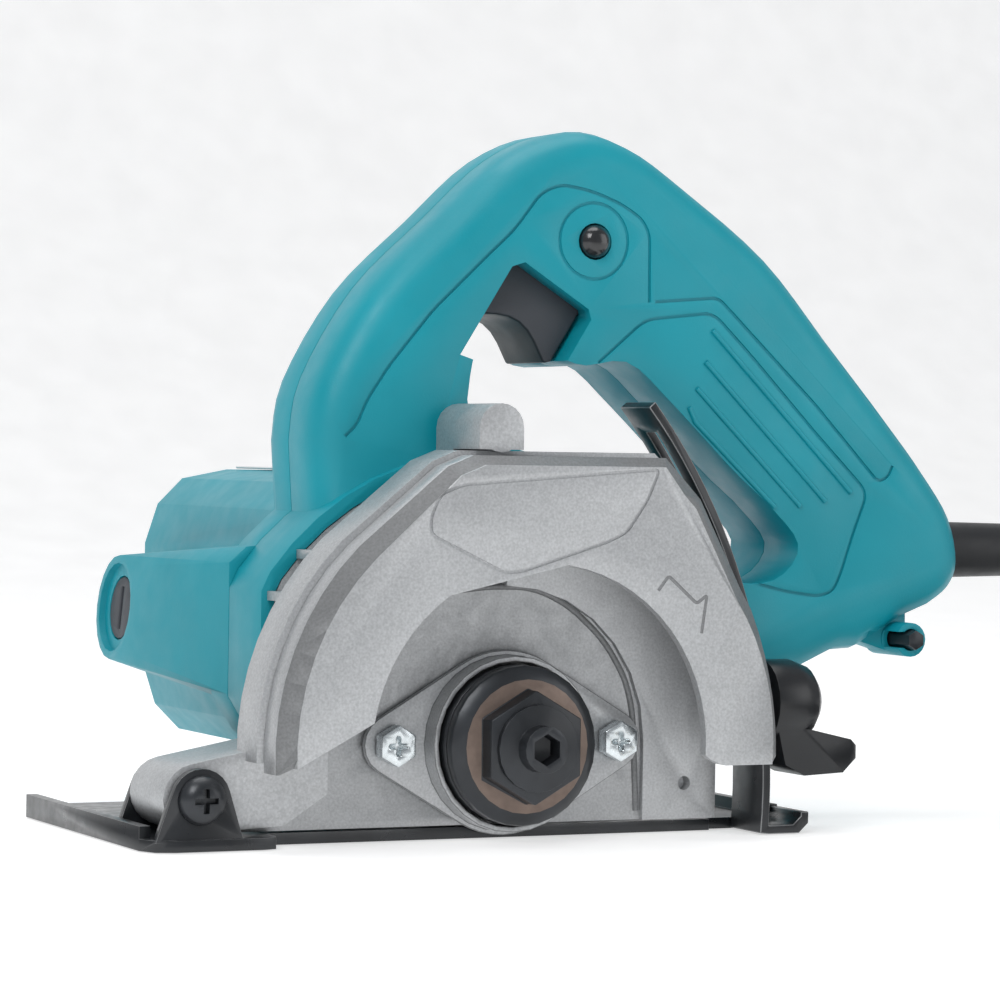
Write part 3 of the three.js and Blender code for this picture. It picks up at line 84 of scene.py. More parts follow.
SPINDLE = middle("spindle")
CASE_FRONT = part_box("blade_case")[0].y
WALL_Y = 20.7
GRIP_NEAR_Y = 33.0
GRIP_FAR_Y = 65.0
SPINDLE_Z = SPINDLE.z / MM


def at(x, y, z):
    """A place given in millimetres behind the spindle, behind the case's face and above the ground."""
    return Vector((SPINDLE.x + x * MM, CASE_FRONT + y * MM, z * MM))


# ---------------------------------------------------------------- sizes and colours


def length(name, description, default):
    """A length property in metres."""
    return FloatProperty(
        name=name,
        description=description,
        default=default,
        min=0.0,
        unit="LENGTH",
        subtype="DISTANCE",
        precision=5,
    )


def colour(name, description, default):
    """A linear colour property."""
    return FloatVectorProperty(
        name=name,
        description=description,
        default=default,
        min=0.0,
        max=1.0,
        size=3,
        subtype="COLOR",
    )


class TrimSawSizes(bpy.types.PropertyGroup):
    """Sizes that shape the finished pieces."""

    cast_edge: length("Cast edge", "Rounding of the cast aluminium's edges", 0.00045)
    moulded_edge: length("Moulded edge", "Rounding of the plastic housing's edges", 0.0007)
    turned_edge: length("Turned edge", "Rounding of the turned steel pieces", 0.0003)
    sheet_edge: length("Sheet edge", "Rounding of the sheet steel", 0.0004)
    groove_width: length("Groove width", "Width of the styling grooves", 0.00075)
    groove_depth: length("Groove depth", "Depth of the styling grooves", 0.0006)
    rib_radius: length("Rib radius", "Radius of the ribs on the grip", 0.00065)
    cord_diameter: length("Cord diameter", "Outside diameter of the supply cord", 0.008)
    coil_turns: IntProperty(
        name="Coil turns",
        description="Turns in each of the two layers of the coil",
        default=4,
        min=2,
        max=6,
    )


class TrimSawColours(bpy.types.PropertyGroup):
    """Colours of the finishes."""

    housing: colour("Housing", "Moulded housing and handle", (0.0, 0.3, 0.375))
    aluminium: colour("Aluminium", "Cast aluminium", (0.5, 0.51, 0.52))
    # Case bevel: painted shade, a darker grey standing in for the dark reflection on the forward-facing
    # chamfers of the blade case and bearing retainer and on the wall ridge.
    bevel: colour("Case bevel", "Bare bevel of the blade case", (0.23, 0.235, 0.24))
    steel: colour("Steel", "Bare ground steel", (0.5, 0.51, 0.52))
    zinc: colour("Zinc", "Zinc-plated screws", (0.75, 0.8, 0.82))
    black_steel: colour("Black steel", "Coated sheet steel", (0.016, 0.018, 0.021))
    bronze: colour("Bronze", "Worn face of the clamping flange", (0.2, 0.15, 0.125))
    dark_plastic: colour("Dark plastic", "Trigger and brush caps", (0.05, 0.055, 0.065))
    black_plastic: colour("Black plastic", "Lever, button and plug", (0.012, 0.013, 0.015))
    rubber: colour("Rubber", "Cord guard and cord", (0.014, 0.015, 0.017))
    copper: colour("Copper", "Windings", (0.46, 0.14, 0.04))
    brass: colour("Brass", "Brush holders and plug pins", (0.6, 0.4, 0.13))
    floor: colour("Floor", "Floor of the stage", (0.62, 0.62, 0.62))


def sizes():
    """The scene's size settings."""
    return bpy.context.scene.trim_saw_sizes


def colours():
    """The scene's colour settings."""
    return bpy.context.scene.trim_saw_colours


# ---------------------------------------------------------------- finishes


class Finish:
    """A material in the making: one Principled surface whose patterns read Object coordinates."""

    def __init__(self, name, metallic=0.0, coat=0.0, specular=0.5):
        self.material = bpy.data.materials.new(name)
        self.material.use_nodes = True
        self.nodes = self.material.node_tree.nodes
        self.links = self.material.node_tree.links
        self.surface = self.nodes["Principled BSDF"]
        self.surface.inputs["Metallic"].default_value = metallic
        self.surface.inputs["Coat Weight"].default_value = coat
        self.surface.inputs["Coat Roughness"].default_value = 0.25
        self.surface.inputs["Specular IOR Level"].default_value = specular
        self.place = self.nodes.new("ShaderNodeTexCoord").outputs["Object"]

    def stretched(self, scale):
        """Object coordinates scaled by a factor for each axis."""
        mapping = self.nodes.new("ShaderNodeMapping")
        mapping.inputs["Scale"].default_value = scale
        self.links.new(self.place, mapping.inputs["Vector"])
        return mapping.outputs["Vector"]

    def noise(self, size, detail=2.0, scale=(1.0, 1.0, 1.0)):
        """Cloudy pattern with features of about the given size in metres."""
        texture = self.nodes.new("ShaderNodeTexNoise")
        texture.inputs["Scale"].default_value = 1.0 / size
        texture.inputs["Detail"].default_value = detail
        self.links.new(self.stretched(scale), texture.inputs["Vector"])
        return texture.outputs["Fac"]

    def cells(self, size):
        """Pebbled pattern with cells of about the given size in metres."""
        texture = self.nodes.new("ShaderNodeTexVoronoi")
        texture.feature = "SMOOTH_F1"
        texture.inputs["Scale"].default_value = 1.0 / size
        self.links.new(self.place, texture.inputs["Vector"])
        return texture.outputs["Distance"]

    def ranged(self, factor, low, high, start=0.3, stop=0.7):
        """A pattern brought to the range low to high."""
        ranger = self.nodes.new("ShaderNodeMapRange")
        ranger.inputs["From Min"].default_value = start
        ranger.inputs["From Max"].default_value = stop
        ranger.inputs["To Min"].default_value = low
        ranger.inputs["To Max"].default_value = high
        self.links.new(factor, ranger.inputs["Value"])
        return ranger.outputs["Result"]

    def coloured(self, factor, dark, light):
        """Base colour that runs from dark to light along a pattern."""
        ramp = self.nodes.new("ShaderNodeValToRGB")
        ramp.color_ramp.elements[0].position = 0.3
        ramp.color_ramp.elements[1].position = 0.7
        ramp.color_ramp.elements[0].color = (*dark, 1.0)
        ramp.color_ramp.elements[1].color = (*light, 1.0)
        self.links.new(factor, ramp.inputs["Fac"])
        self.links.new(ramp.outputs["Color"], self.surface.inputs["Base Color"])
        return self

    def rough(self, factor, low, high):
        """Roughness that follows a pattern."""
        self.links.new(self.ranged(factor, low, high), self.surface.inputs["Roughness"])
        return self

    def bumped(self, *heights):
        """Bump from (pattern, height in metres) pairs, laid on each other."""
        normal = None
        for height, distance in heights:
            bump = self.nodes.new("ShaderNodeBump")
            bump.inputs["Strength"].default_value = 1.0
            bump.inputs["Distance"].default_value = distance
            self.links.new(height, bump.inputs["Height"])
            if normal is not None:
                self.links.new(normal, bump.inputs["Normal"])
            normal = bump.outputs["Normal"]
        self.links.new(normal, self.surface.inputs["Normal"])
        return self


def shade(rgb, factor):
    """A colour made darker or lighter."""
    return tuple(min(1.0, c * factor) for c in rgb)


def moulded(name, rgb, low, high, grain=0.00042, height=0.000022, coat=0.0):
    """Moulded plastic with a fine spark-eroded grain."""
    made = Finish(name, coat=coat)
    made.coloured(made.noise(0.03, 3.0), shade(rgb, 0.93), shade(rgb, 1.05))
    made.rough(made.noise(0.006, 4.0), low, high)
    return made.bumped((made.noise(grain, 1.0), height)).material


def cast(name, rgb, grain, height, low=0.42, high=0.56, metallic=0.72):
    """Die-cast aluminium with a speckled, slightly pebbled skin."""
    made = Finish(name, metallic=metallic)
    made.coloured(made.noise(0.00055, 3.0), shade(rgb, 0.86), shade(rgb, 1.12))
    made.rough(made.noise(0.004, 3.0), low, high)
    return made.bumped((made.cells(grain), height), (made.noise(0.00035, 1.0), 0.000012)).material


def coated(name, rgb, low, high, metallic=0.25):
    """Satin coating over sheet steel, with faint handling marks."""
    made = Finish(name, metallic=metallic, coat=0.35)
    made.coloured(made.noise(0.012, 5.0), shade(rgb, 0.75), shade(rgb, 1.45))
    made.rough(made.noise(0.0035, 5.0), low, high)
    return made.bumped((made.noise(0.0006, 2.0), 0.00001)).material


def machined(name, rgb, low, high, stretch=(1.0, 1.0, 1.0), metallic=1.0):
    """Turned or ground metal with fine tool lines."""
    made = Finish(name, metallic=metallic)
    made.coloured(made.noise(0.004, 4.0, stretch), shade(rgb, 0.82), shade(rgb, 1.12))
    made.rough(made.noise(0.0012, 3.0, stretch), low, high)
    return made.bumped((made.noise(0.0004, 2.0, stretch), 0.000008)).material


def make_finishes():
    """Every material of the saw, by the name of its finish."""
    c = colours()
    long_y = (1.0, 0.08, 1.0)
    long_x = (0.06, 1.0, 1.0)
    return {
        "housing": moulded("teal_moulded_nylon", c.housing, 0.4, 0.52),
        "dark_plastic": moulded("dark_grey_plastic", c.dark_plastic, 0.45, 0.6, 0.0006, 0.00003),
        "black_plastic": moulded("black_satin_plastic", c.black_plastic, 0.28, 0.4, 0.0008, 0.00001),
        "button": moulded("black_glossy_plastic", c.black_plastic, 0.12, 0.2, 0.001, 0.000004, 0.6),
        # Much darker grey plastic for the trigger's down-and-forward face: painted shade.
        "shaded_finger_face": moulded("trigger_face_painted_shade", shade(c.dark_plastic, 0.45), 0.4, 0.5),
        "cast": cast("cast_aluminium", c.aluminium, 0.0011, 0.00003),
        "rough_cast": cast("rough_cast_aluminium", shade(c.aluminium, 0.85), 0.0015, 0.00011),
        # Darker grey cast finish: painted shade standing in for the dark reflection that the
        # forward-facing chamfers show.
        "bevel": cast("cast_bevel_painted_dark_reflection", c.bevel, 0.0009, 0.00004, 0.5, 0.62, 0.35),
        "black_steel": coated("black_coated_steel", c.black_steel, 0.26, 0.42),
        "black_oxide": coated("black_oxide_steel", shade(c.black_steel, 1.5), 0.32, 0.48, 0.5),
        "bright_edge": machined("rubbed_bright_edge", shade(c.steel, 0.55), 0.3, 0.45),
        "steel": machined("ground_steel", c.steel, 0.2, 0.34, long_y),
        "brushed": machined("brushed_tongue", shade(c.steel, 1.15), 0.28, 0.42, long_x),
        "zinc": machined("zinc_plated_steel", c.zinc, 0.2, 0.32),
        "bronze": machined("bronzed_flange_face", c.bronze, 0.34, 0.5, metallic=0.6),
        "copper": machined("varnished_copper", c.copper, 0.25, 0.4, long_y),
        "brass": machined("bare_brass", c.brass, 0.2, 0.32, long_y),
        "iron": cast("varnished_laminations", (0.03, 0.028, 0.028), 0.001, 0.00005, metallic=0.4),
        "carbon": moulded("pressed_carbon", (0.02, 0.02, 0.021), 0.6, 0.8),
        "rubber": moulded("moulded_rubber", c.rubber, 0.42, 0.58, 0.0009, 0.00002),
        "sheath": moulded("cord_sheath", c.rubber, 0.38, 0.5, 0.0012, 0.000015),
        "insulation": moulded("wire_insulation", (0.75, 0.72, 0.62), 0.4, 0.5),
        "plate": moulded("blank_white_plate", (0.78, 0.79, 0.79), 0.3, 0.4, 0.002, 0.000004),
        "mark": moulded("dark_engraving", (0.03, 0.03, 0.032), 0.5, 0.6),
    }


FINISHES = {}


def finish(name):
    """The material of one finish."""
    if not FINISHES:
        FINISHES.update(make_finishes())
    return FINISHES[name]


# ---------------------------------------------------------------- mesh work


def new_object(name, mesh):
    """An object at the origin that holds a mesh."""
    obj = bpy.data.objects.new(name, mesh)
    bpy.context.scene.collection.objects.link(obj)
    return obj


def from_bmesh(name, work):
    """An object from a bmesh, its normals pointing out."""
    bmesh.ops.recalc_face_normals(work, faces=work.faces)
    mesh = bpy.data.meshes.new(name)
    work.to_mesh(mesh)
    work.free()
    return new_object(name, mesh)


def copy_of(node, name):
    """A merged copy of a node's mesh, ready for cuts and rounding."""
    work = bmesh.new()
    work.from_mesh(frame["nodes"][node].data)
    bmesh.ops.remove_doubles(work, verts=work.verts, dist=2e-6)
    mesh = bpy.data.meshes.new(name)
    work.to_mesh(mesh)
    work.free()
    return new_object(name, mesh)


def settle(obj):
    """Applies the modifiers of an object to its mesh."""
    depsgraph = bpy.context.evaluated_depsgraph_get()
    mesh = bpy.data.meshes.new_from_object(obj.evaluated_get(depsgraph), depsgraph=depsgraph)
    obj.modifiers.clear()
    old = obj.data
    obj.data = mesh
    bpy.data.meshes.remove(old)
    return obj


def combine(obj, operation, *tools):
    """Joins tools to a piece, or cuts them out of it, and removes the tools."""
    for tool in tools:
        boolean = obj.modifiers.new("combine", "BOOLEAN")
        boolean.operation = operation
        boolean.solver = "EXACT"
        boolean.use_self = True
        boolean.object = tool
        settle(obj)
        bpy.data.objects.remove(tool)
    return obj


def joined(name, *objects):
    """One object from several that keep their own faces."""
    work = bmesh.new()
    for obj in objects:
        work.from_mesh(obj.data)
        bpy.data.objects.remove(obj)
    return from_bmesh(name, work)


def rounded(obj, width, materials, smooth=48.0, segments=2, edge_slot=None, limit=50.0, flatten=True):
    """Flattens a mesh's coplanar faces, rounds its sharp edges and smooths its curves."""
    work = bmesh.new()
    work.from_mesh(obj.data)
    bmesh.ops.remove_doubles(work, verts=work.verts, dist=3e-6)
    if flatten:
        bmesh.ops.dissolve_limit(
            work, angle_limit=math.radians(0.8), verts=work.verts, edges=work.edges
        )
    work.to_mesh(obj.data)
    work.free()
    obj.data.materials.clear()
    for material in materials:
        obj.data.materials.append(finish(material))
    bevel = obj.modifiers.new("rounding", "BEVEL")
    bevel.width = width
    bevel.segments = segments
    bevel.limit_method = "ANGLE"
    bevel.angle_limit = math.radians(limit)
    bevel.use_clamp_overlap = True
    bevel.miter_outer = "MITER_ARC"
    if edge_slot is not None:
        bevel.material = edge_slot
    settle(obj)
    for polygon in obj.data.polygons:
        polygon.use_smooth = True
    obj.data.set_sharp_from_angle(angle=math.radians(smooth))
    return obj


def stand_for(obj, *nodes, slot=None):
    """Lets a finished piece ride with its nodes' body and stand for them."""
    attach(obj, BODY_OF[nodes[0]])
    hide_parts(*nodes)
    return obj


def refined(node, width, *materials, **options):
    """A rounded copy of a node that stands for it."""
    obj = rounded(copy_of(node, f"{node}_finished"), width, materials, **options)
    return stand_for(obj, node)


def paint_where(obj, slot, test):
    """Gives a material slot to the faces whose corners, in millimetres, and normal pass a test."""
    origin = at(0, 0, 0)
    places = [(vertex.co - origin) / MM for vertex in obj.data.vertices]
    for polygon in obj.data.polygons:
        if all(test(places[i], polygon.normal) for i in polygon.vertices):
            polygon.material_index = slot
    return obj


def filleted(points, radius, closed=False, steps=5):
    """A line of (across, up) points with its corners rounded."""
    count = len(points)
    line = []
    for i, corner in enumerate(points):
        here = Vector(corner)
        if not closed and i in (0, count - 1):
            line.append(here)
            continue
        before = Vector(points[i - 1]) - here
        after = Vector(points[(i + 1) % count]) - here
        reach = min(radius, before.length * 0.45, after.length * 0.45)
        first = here + before.normalized() * reach
        last = here + after.normalized() * reach
        for step in range(steps + 1):
            t = step / steps
            line.append(first * (1 - t) ** 2 + here * 2 * t * (1 - t) + last * t**2)
    return line


def ribbon(name, line, width, low, high, place, closed=False):
    """A closed wall of a given width along a flat line, between two depths."""
    count = len(line)
    left, right = [], []
    for i, here in enumerate(line):
        before = line[i - 1] if closed or i else here
        after = line[(i + 1) % count] if closed or i < count - 1 else here
        into, out = here - before, after - here
        into = into.normalized() if into.length > 1e-9 else out.normalized()
        out = out.normalized() if out.length > 1e-9 else into
        mean = (into + out).normalized()
        side = Vector((-mean.y, mean.x))
        reach = width / 2 / max(0.4, side.dot(Vector((-into.y, into.x))))
        left.append(here + side * reach)
        right.append(here - side * reach)
    work = bmesh.new()
    rings = []
    for i in range(count):
        corners = [(left[i], low), (right[i], low), (right[i], high), (left[i], high)]
        rings.append([work.verts.new(place(p.x, depth, p.y)) for p, depth in corners])
    last = count if closed else count - 1
    for i in range(last):
        a, b = rings[i], rings[(i + 1) % count]
        for k in range(4):
            work.faces.new((a[k], a[(k + 1) % 4], b[(k + 1) % 4], b[k]))
    if not closed:
        work.faces.new(rings[0])
        work.faces.new(rings[-1])
    return from_bmesh(name, work)


def side_groove(points, y, depth, width, radius=2.0, closed=False, inward=1.0):
    """Cutter for a groove in a flat side whose surface is at y, given in millimetres."""
    line = filleted(points, radius, closed)
    low, high = sorted((y - inward * 0.6, y + inward * depth))
    return ribbon("groove", line, width, low, high, at, closed)


def turned(name, profile, centre, axis="Y", facets=64):
    """A turned piece from (radius, place along the axis) points in millimetres; it is closed."""
    turn = {"Y": lambda r, s, a: (r * math.cos(a), s, r * math.sin(a))}
    turn["X"] = lambda r, s, a: (s, r * math.cos(a), r * math.sin(a))
    place = turn[axis]
    work = bmesh.new()
    rings = []
    for r, s in profile:
        ring = []
        for i in range(facets if r > 1e-6 else 1):
            offset = Vector(place(r, s, 2 * math.pi * i / facets))
            ring.append(work.verts.new(centre + offset * MM))
        rings.append(ring)
    for a, b in zip(rings, rings[1:] + ([] if profile[0][0] < 1e-6 else rings[:1])):
        for i in range(facets):
            face = [a[i % len(a)], a[(i + 1) % len(a)], b[(i + 1) % len(b)], b[i % len(b)]]
            corners = list(dict.fromkeys(face))
            if len(corners) > 2:
                work.faces.new(corners)
    return from_bmesh(name, work)


# ---------------------------------------------------------------- camera


def camera_turn(azimuth, elevation, roll):
    """Rotation of a camera that looks at the saw's front from an azimuth and an elevation."""
    a, e, r = (math.radians(v) for v in (azimuth, elevation, roll))
    back = Vector((math.sin(a) * math.cos(e), -math.cos(a) * math.cos(e), math.sin(e)))
    level = Vector((math.cos(a), math.sin(a), 0.0))
    rise = back.cross(level)
    right = level * math.cos(r) + rise * math.sin(r)
    up = rise * math.cos(r) - level * math.sin(r)
    return Matrix((right, up, back)).transposed()


class TRIMSAW_OT_camera(bpy.types.Operator):
    """Sets up the camera that looks at the blade case from the front left"""

    bl_idname = "trim_saw.camera"
    bl_label = "Camera"

    def execute(self, context):
        data = bpy.data.cameras.new("saw_camera")
        data.sensor_width = 36.0
        data.lens = 133.24
        data.clip_start = 0.01
        data.clip_end = 50.0
        camera = bpy.data.objects.new("saw_camera", data)
        context.scene.collection.objects.link(camera)
        turn = camera_turn(-25.59, 0.77, 0.89).to_4x4()
        camera.matrix_world = Matrix.Translation(at(-352.29, -712.42, 85.15)) @ turn
        context.scene.camera = camera
        return {"FINISHED"}


# ---------------------------------------------------------------- supply cord


def eased(t):
    """A smooth step from 0 to 1."""
    t = min(1.0, max(0.0, t))
    return t * t * (3 - 2 * t)


def smooth_line(points, spacing):
    """Points on a smooth curve through a list of points, at most a spacing apart."""
    line = []
    ends = [points[0] * 2 - points[1], *points, points[-1] * 2 - points[-2]]
    for a, b, c, d in zip(ends, ends[1:], ends[2:], ends[3:]):
        steps = max(1, math.ceil((c - b).length / spacing))
        for i in range(steps):
            t = i / steps
            line.append(
                0.5
                * (
                    2 * b
                    + (c - a) * t
                    + (2 * a - 5 * b + 4 * c - d) * t**2
                    + (3 * b - a - 3 * c + d) * t**3
                )
            )
    line.append(points[-1])
    return line


def coil_line(entry_z, exit_y):
    """The turns of the coil: inwards in the top layer, down, and outwards in the bottom layer."""
    low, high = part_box("cord_coil")
    centre = (low + high) / 2
    d = sizes().cord_diameter
    turns = sizes().coil_turns
    outer = (high.x - low.x) / 2 - d / 2
    top_z, bottom_z = high.z - d / 2, low.z + d / 2
    down_from = 360 * (turns - 1) + 240
    final = 360 * (2 * turns - 1) + 90
    exit_r = centre.y - exit_y
    line = []
    for a in range(0, final + 1, 6):
        moved_in = sum(eased((a - 360 * k + 60) / 60) for k in range(1, turns))
        moved_out = sum(eased((a - 360 * k - 180) / 60) for k in range(turns, 2 * turns - 1))
        r = outer - d * (moved_in - moved_out)
        r += (exit_r - outer) * eased((a - final + 70) / 70)
        z = entry_z + (top_z - entry_z) * eased(a / 70)
        z += (bottom_z - top_z) * eased((a - down_from) / 60)
        angle = -math.radians(a)
        line.append(Vector((centre.x + r * math.cos(angle), centre.y + r * math.sin(angle), z)))
    return line


def tube(name, line, radius, sides=14):
    """A closed tube along a line of points."""
    work = bmesh.new()
    normal = Vector((0.0, 0.0, 1.0))
    rings = []
    for i, point in enumerate(line):
        ahead = line[min(i + 1, len(line) - 1)] - line[max(i - 1, 0)]
        tangent = ahead.normalized()
        normal = (normal - tangent * normal.dot(tangent)).normalized()
        side = tangent.cross(normal)
        ring = []
        for k in range(sides):
            a = 2 * math.pi * k / sides
            offset = normal * math.cos(a) + side * math.sin(a)
            ring.append(work.verts.new(point + offset * radius))
        rings.append(ring)
    for a, b in zip(rings, rings[1:]):
        for k in range(sides):
            work.faces.new((a[k], a[(k + 1) % sides], b[(k + 1) % sides], b[k]))
    work.faces.new(rings[0])
    work.faces.new(rings[-1])
    obj = from_bmesh(name, work)
    for polygon in obj.data.polygons:
        polygon.use_smooth = len(polygon.vertices) == 4
    return obj


class TRIMSAW_OT_cord(bpy.types.Operator):
    """Makes the cord guard, the cord with its coil, and the plug"""

    bl_idname = "trim_saw.cord"
    bl_label = "Cord"

    def execute(self, context):
        radius = sizes().cord_diameter / 2
        exit_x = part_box("cord")[0].x
        coil_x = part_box("cord_coil")[1].x - radius
        route = [
            (exit_x, 49, 62.8),
            (exit_x + 0.012, 49, 62.8),
            (exit_x + 0.029, 46.5, 60),
            (exit_x + 0.045, 37.5, 51),
            (exit_x + 0.056, 22, 38),
            (coil_x - 0.0007, 4, 27),
            (coil_x - 0.0004, -10, 21.8),
            (coil_x, -20, 20.3),
        ]
        free = [Vector((x, *at(0, y, z).yz)) for x, y, z in route]
        tail_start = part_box("cord_tail")[1].x
        tail_y = middle("cord_tail").y
        plug_low, plug_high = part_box("plug")
        coil = coil_line(free[-1].z, tail_y)
        tail = [
            Vector((tail_start, tail_y, radius)),
            Vector((tail_start - 0.009, tail_y, radius + 0.0008)),
            Vector((plug_high.x + 0.008, tail_y, (plug_low.z + plug_high.z) / 2)),
            Vector((plug_high.x + 0.0003, tail_y, (plug_low.z + plug_high.z) / 2)),
        ]
        path = smooth_line(free, 0.003)[:-1] + coil[:-1] + smooth_line(tail, 0.003)
        cord = tube("supply_cord", path, radius)
        cord.data.materials.append(finish("sheath"))
        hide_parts("cord", "cord_coil", "cord_tail")
        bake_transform(cord)
        guard = refined("cord_guard", 0.0005, "rubber", smooth=60.0)
        plug = refined("plug", 0.0022, "black_plastic", segments=3, limit=20.0, smooth=60.0)
        pins = [refined(f"plug_pin_{i}", 0.0008, "brass", segments=2) for i in (1, 2)]
        return {"FINISHED"}


# ---------------------------------------------------------------- repeated pieces


def node_tree(name, inputs):
    """A Geometry Nodes tree with a geometry in and out and some named inputs."""
    tree = bpy.data.node_groups.new(name, "GeometryNodeTree")
    tree.interface.new_socket("Geometry", in_out="INPUT", socket_type="NodeSocketGeometry")
    for label, kind in inputs:
        tree.interface.new_socket(label, in_out="INPUT", socket_type=kind)
    tree.interface.new_socket("Geometry", in_out="OUTPUT", socket_type="NodeSocketGeometry")
    return tree, tree.nodes.new("NodeGroupInput"), tree.nodes.new("NodeGroupOutput")


def copies_tree():
    """Tree that sets a copy of an object on each point."""
    name = "copies_on_points"
    if name in bpy.data.node_groups:
        return bpy.data.node_groups[name]
    kinds = [("Copied", "NodeSocketObject"), ("Finish", "NodeSocketMaterial")]
    tree, start, end = node_tree(name, kinds)
    info = tree.nodes.new("GeometryNodeObjectInfo")
    set_on = tree.nodes.new("GeometryNodeInstanceOnPoints")
    real = tree.nodes.new("GeometryNodeRealizeInstances")
    paint = tree.nodes.new("GeometryNodeSetMaterial")
    link = tree.links.new
    link(start.outputs["Geometry"], set_on.inputs["Points"])
    link(start.outputs["Copied"], info.inputs["Object"])
    link(info.outputs["Geometry"], set_on.inputs["Instance"])
    link(set_on.outputs["Instances"], real.inputs["Geometry"])
    link(real.outputs["Geometry"], paint.inputs["Geometry"])
    link(start.outputs["Finish"], paint.inputs["Material"])
    link(paint.outputs["Geometry"], end.inputs["Geometry"])
    return tree


def ribs_tree():
    """Tree that turns edges into round ribs."""
    name = "ribs_along_edges"
    if name in bpy.data.node_groups:
        return bpy.data.node_groups[name]
    kinds = [("Radius", "NodeSocketFloat"), ("Finish", "NodeSocketMaterial")]
    tree, start, end = node_tree(name, kinds)
    curve = tree.nodes.new("GeometryNodeMeshToCurve")
    section = tree.nodes.new("GeometryNodeCurvePrimitiveCircle")
    section.inputs["Resolution"].default_value = 12
    sweep = tree.nodes.new("GeometryNodeCurveToMesh")
    sweep.inputs["Fill Caps"].default_value = True
    real = tree.nodes.new("GeometryNodeRealizeInstances")
    paint = tree.nodes.new("GeometryNodeSetMaterial")
    link = tree.links.new
    link(start.outputs["Geometry"], curve.inputs["Mesh"])
    link(start.outputs["Radius"], section.inputs["Radius"])
    link(curve.outputs["Curve"], sweep.inputs["Curve"])
    link(section.outputs["Curve"], sweep.inputs["Profile Curve"])
    link(sweep.outputs["Mesh"], real.inputs["Geometry"])
    link(real.outputs["Geometry"], paint.inputs["Geometry"])
    link(start.outputs["Finish"], paint.inputs["Material"])
    link(paint.outputs["Geometry"], end.inputs["Geometry"])
    return tree


def grown(name, points, edges, tree, values):
    """A mesh made by a tree from points and edges, with its inputs set by name."""
    mesh = bpy.data.meshes.new(name)
    mesh.from_pydata(points, edges, [])
    obj = new_object(name, mesh)
    grower = obj.modifiers.new("grower", "NODES")
    grower.node_group = tree
    sockets = {
        item.name: item.identifier
        for item in tree.interface.items_tree
        if item.item_type == "SOCKET" and item.in_out == "INPUT"
    }
    for label, value in values.items():
        grower[sockets[label]] = value
    settle(obj)
    for polygon in obj.data.polygons:
        polygon.use_smooth = True
    obj.data.set_sharp_from_angle(angle=math.radians(45))
    return obj


def cross_recess(centre, span, depth, toward):
    """Cutter for a cross recess that opens along Y, on the side toward is on."""
    work = bmesh.new()
    for long, across in ((span, span * 0.24), (span * 0.24, span)):
        outer = centre.y + toward * 0.0006
        inner = centre.y - toward * depth
        rings = []
        for y, share in ((outer, 1.0), (centre.y, 1.0), (inner, 0.55)):
            corners = ((-1, -1), (1, -1), (1, 1), (-1, 1))
            rings.append(
                [
                    work.verts.new(
                        (centre.x + u * long / 2 * share, y, centre.z + v * across / 2 * share)
                    )
                    for u, v in corners
                ]
            )
        for a, b in zip(rings, rings[1:]):
            for k in range(4):
                work.faces.new((a[k], a[(k + 1) % 4], b[(k + 1) % 4], b[k]))
        work.faces.new(rings[0])
        work.faces.new(rings[-1])
    return from_bmesh("recess", work)


def recessed(node, toward, span, depth):
    """A copy of a screw with a cross recess in the head that faces toward."""
    low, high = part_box(node)
    top = high.y if toward > 0 else low.y
    obj = copy_of(node, f"{node}_cut")
    recess = cross_recess(Vector(((low.x + high.x) / 2, top, (low.z + high.z) / 2)), span, depth, toward)
    boolean = obj.modifiers.new("recess", "BOOLEAN")
    boolean.operation = "DIFFERENCE"
    boolean.solver = "EXACT"
    boolean.use_self = True
    boolean.object = recess
    settle(obj)
    bpy.data.objects.remove(recess)
    return obj


def same_screws(name, nodes, toward, span, depth, width, material):
    """One mesh for several equal screws, set out from the first of them."""
    first = rounded(recessed(nodes[0], toward, span, depth), width, [material], segments=2)
    home = middle(nodes[0])
    first.data.transform(Matrix.Translation(-home))
    values = {"Copied": first, "Finish": finish(material)}
    obj = grown(name, [middle(node) for node in nodes], [], copies_tree(), values)
    bpy.data.objects.remove(first)
    return stand_for(obj, *nodes)


# ---------------------------------------------------------------- the saw


def radius_of(place):
    """Distance of a place in millimetres from the spindle's axis."""
    return math.hypot(place.x, place.z - SPINDLE_Z)


def raised_line(name, points, y, corner, radius, material):
    """A thin cast line on a flat side of the saw's castings, its corners rounded."""
    line = [at(p.x, y, p.y) for p in filleted(points, corner)]
    links = [(i, i + 1) for i in range(len(line) - 1)]
    values = {"Radius": radius, "Finish": finish(material)}
    rib = grown(name, line, links, ribs_tree(), values)
    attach(rib, "saw_body")
    return rib


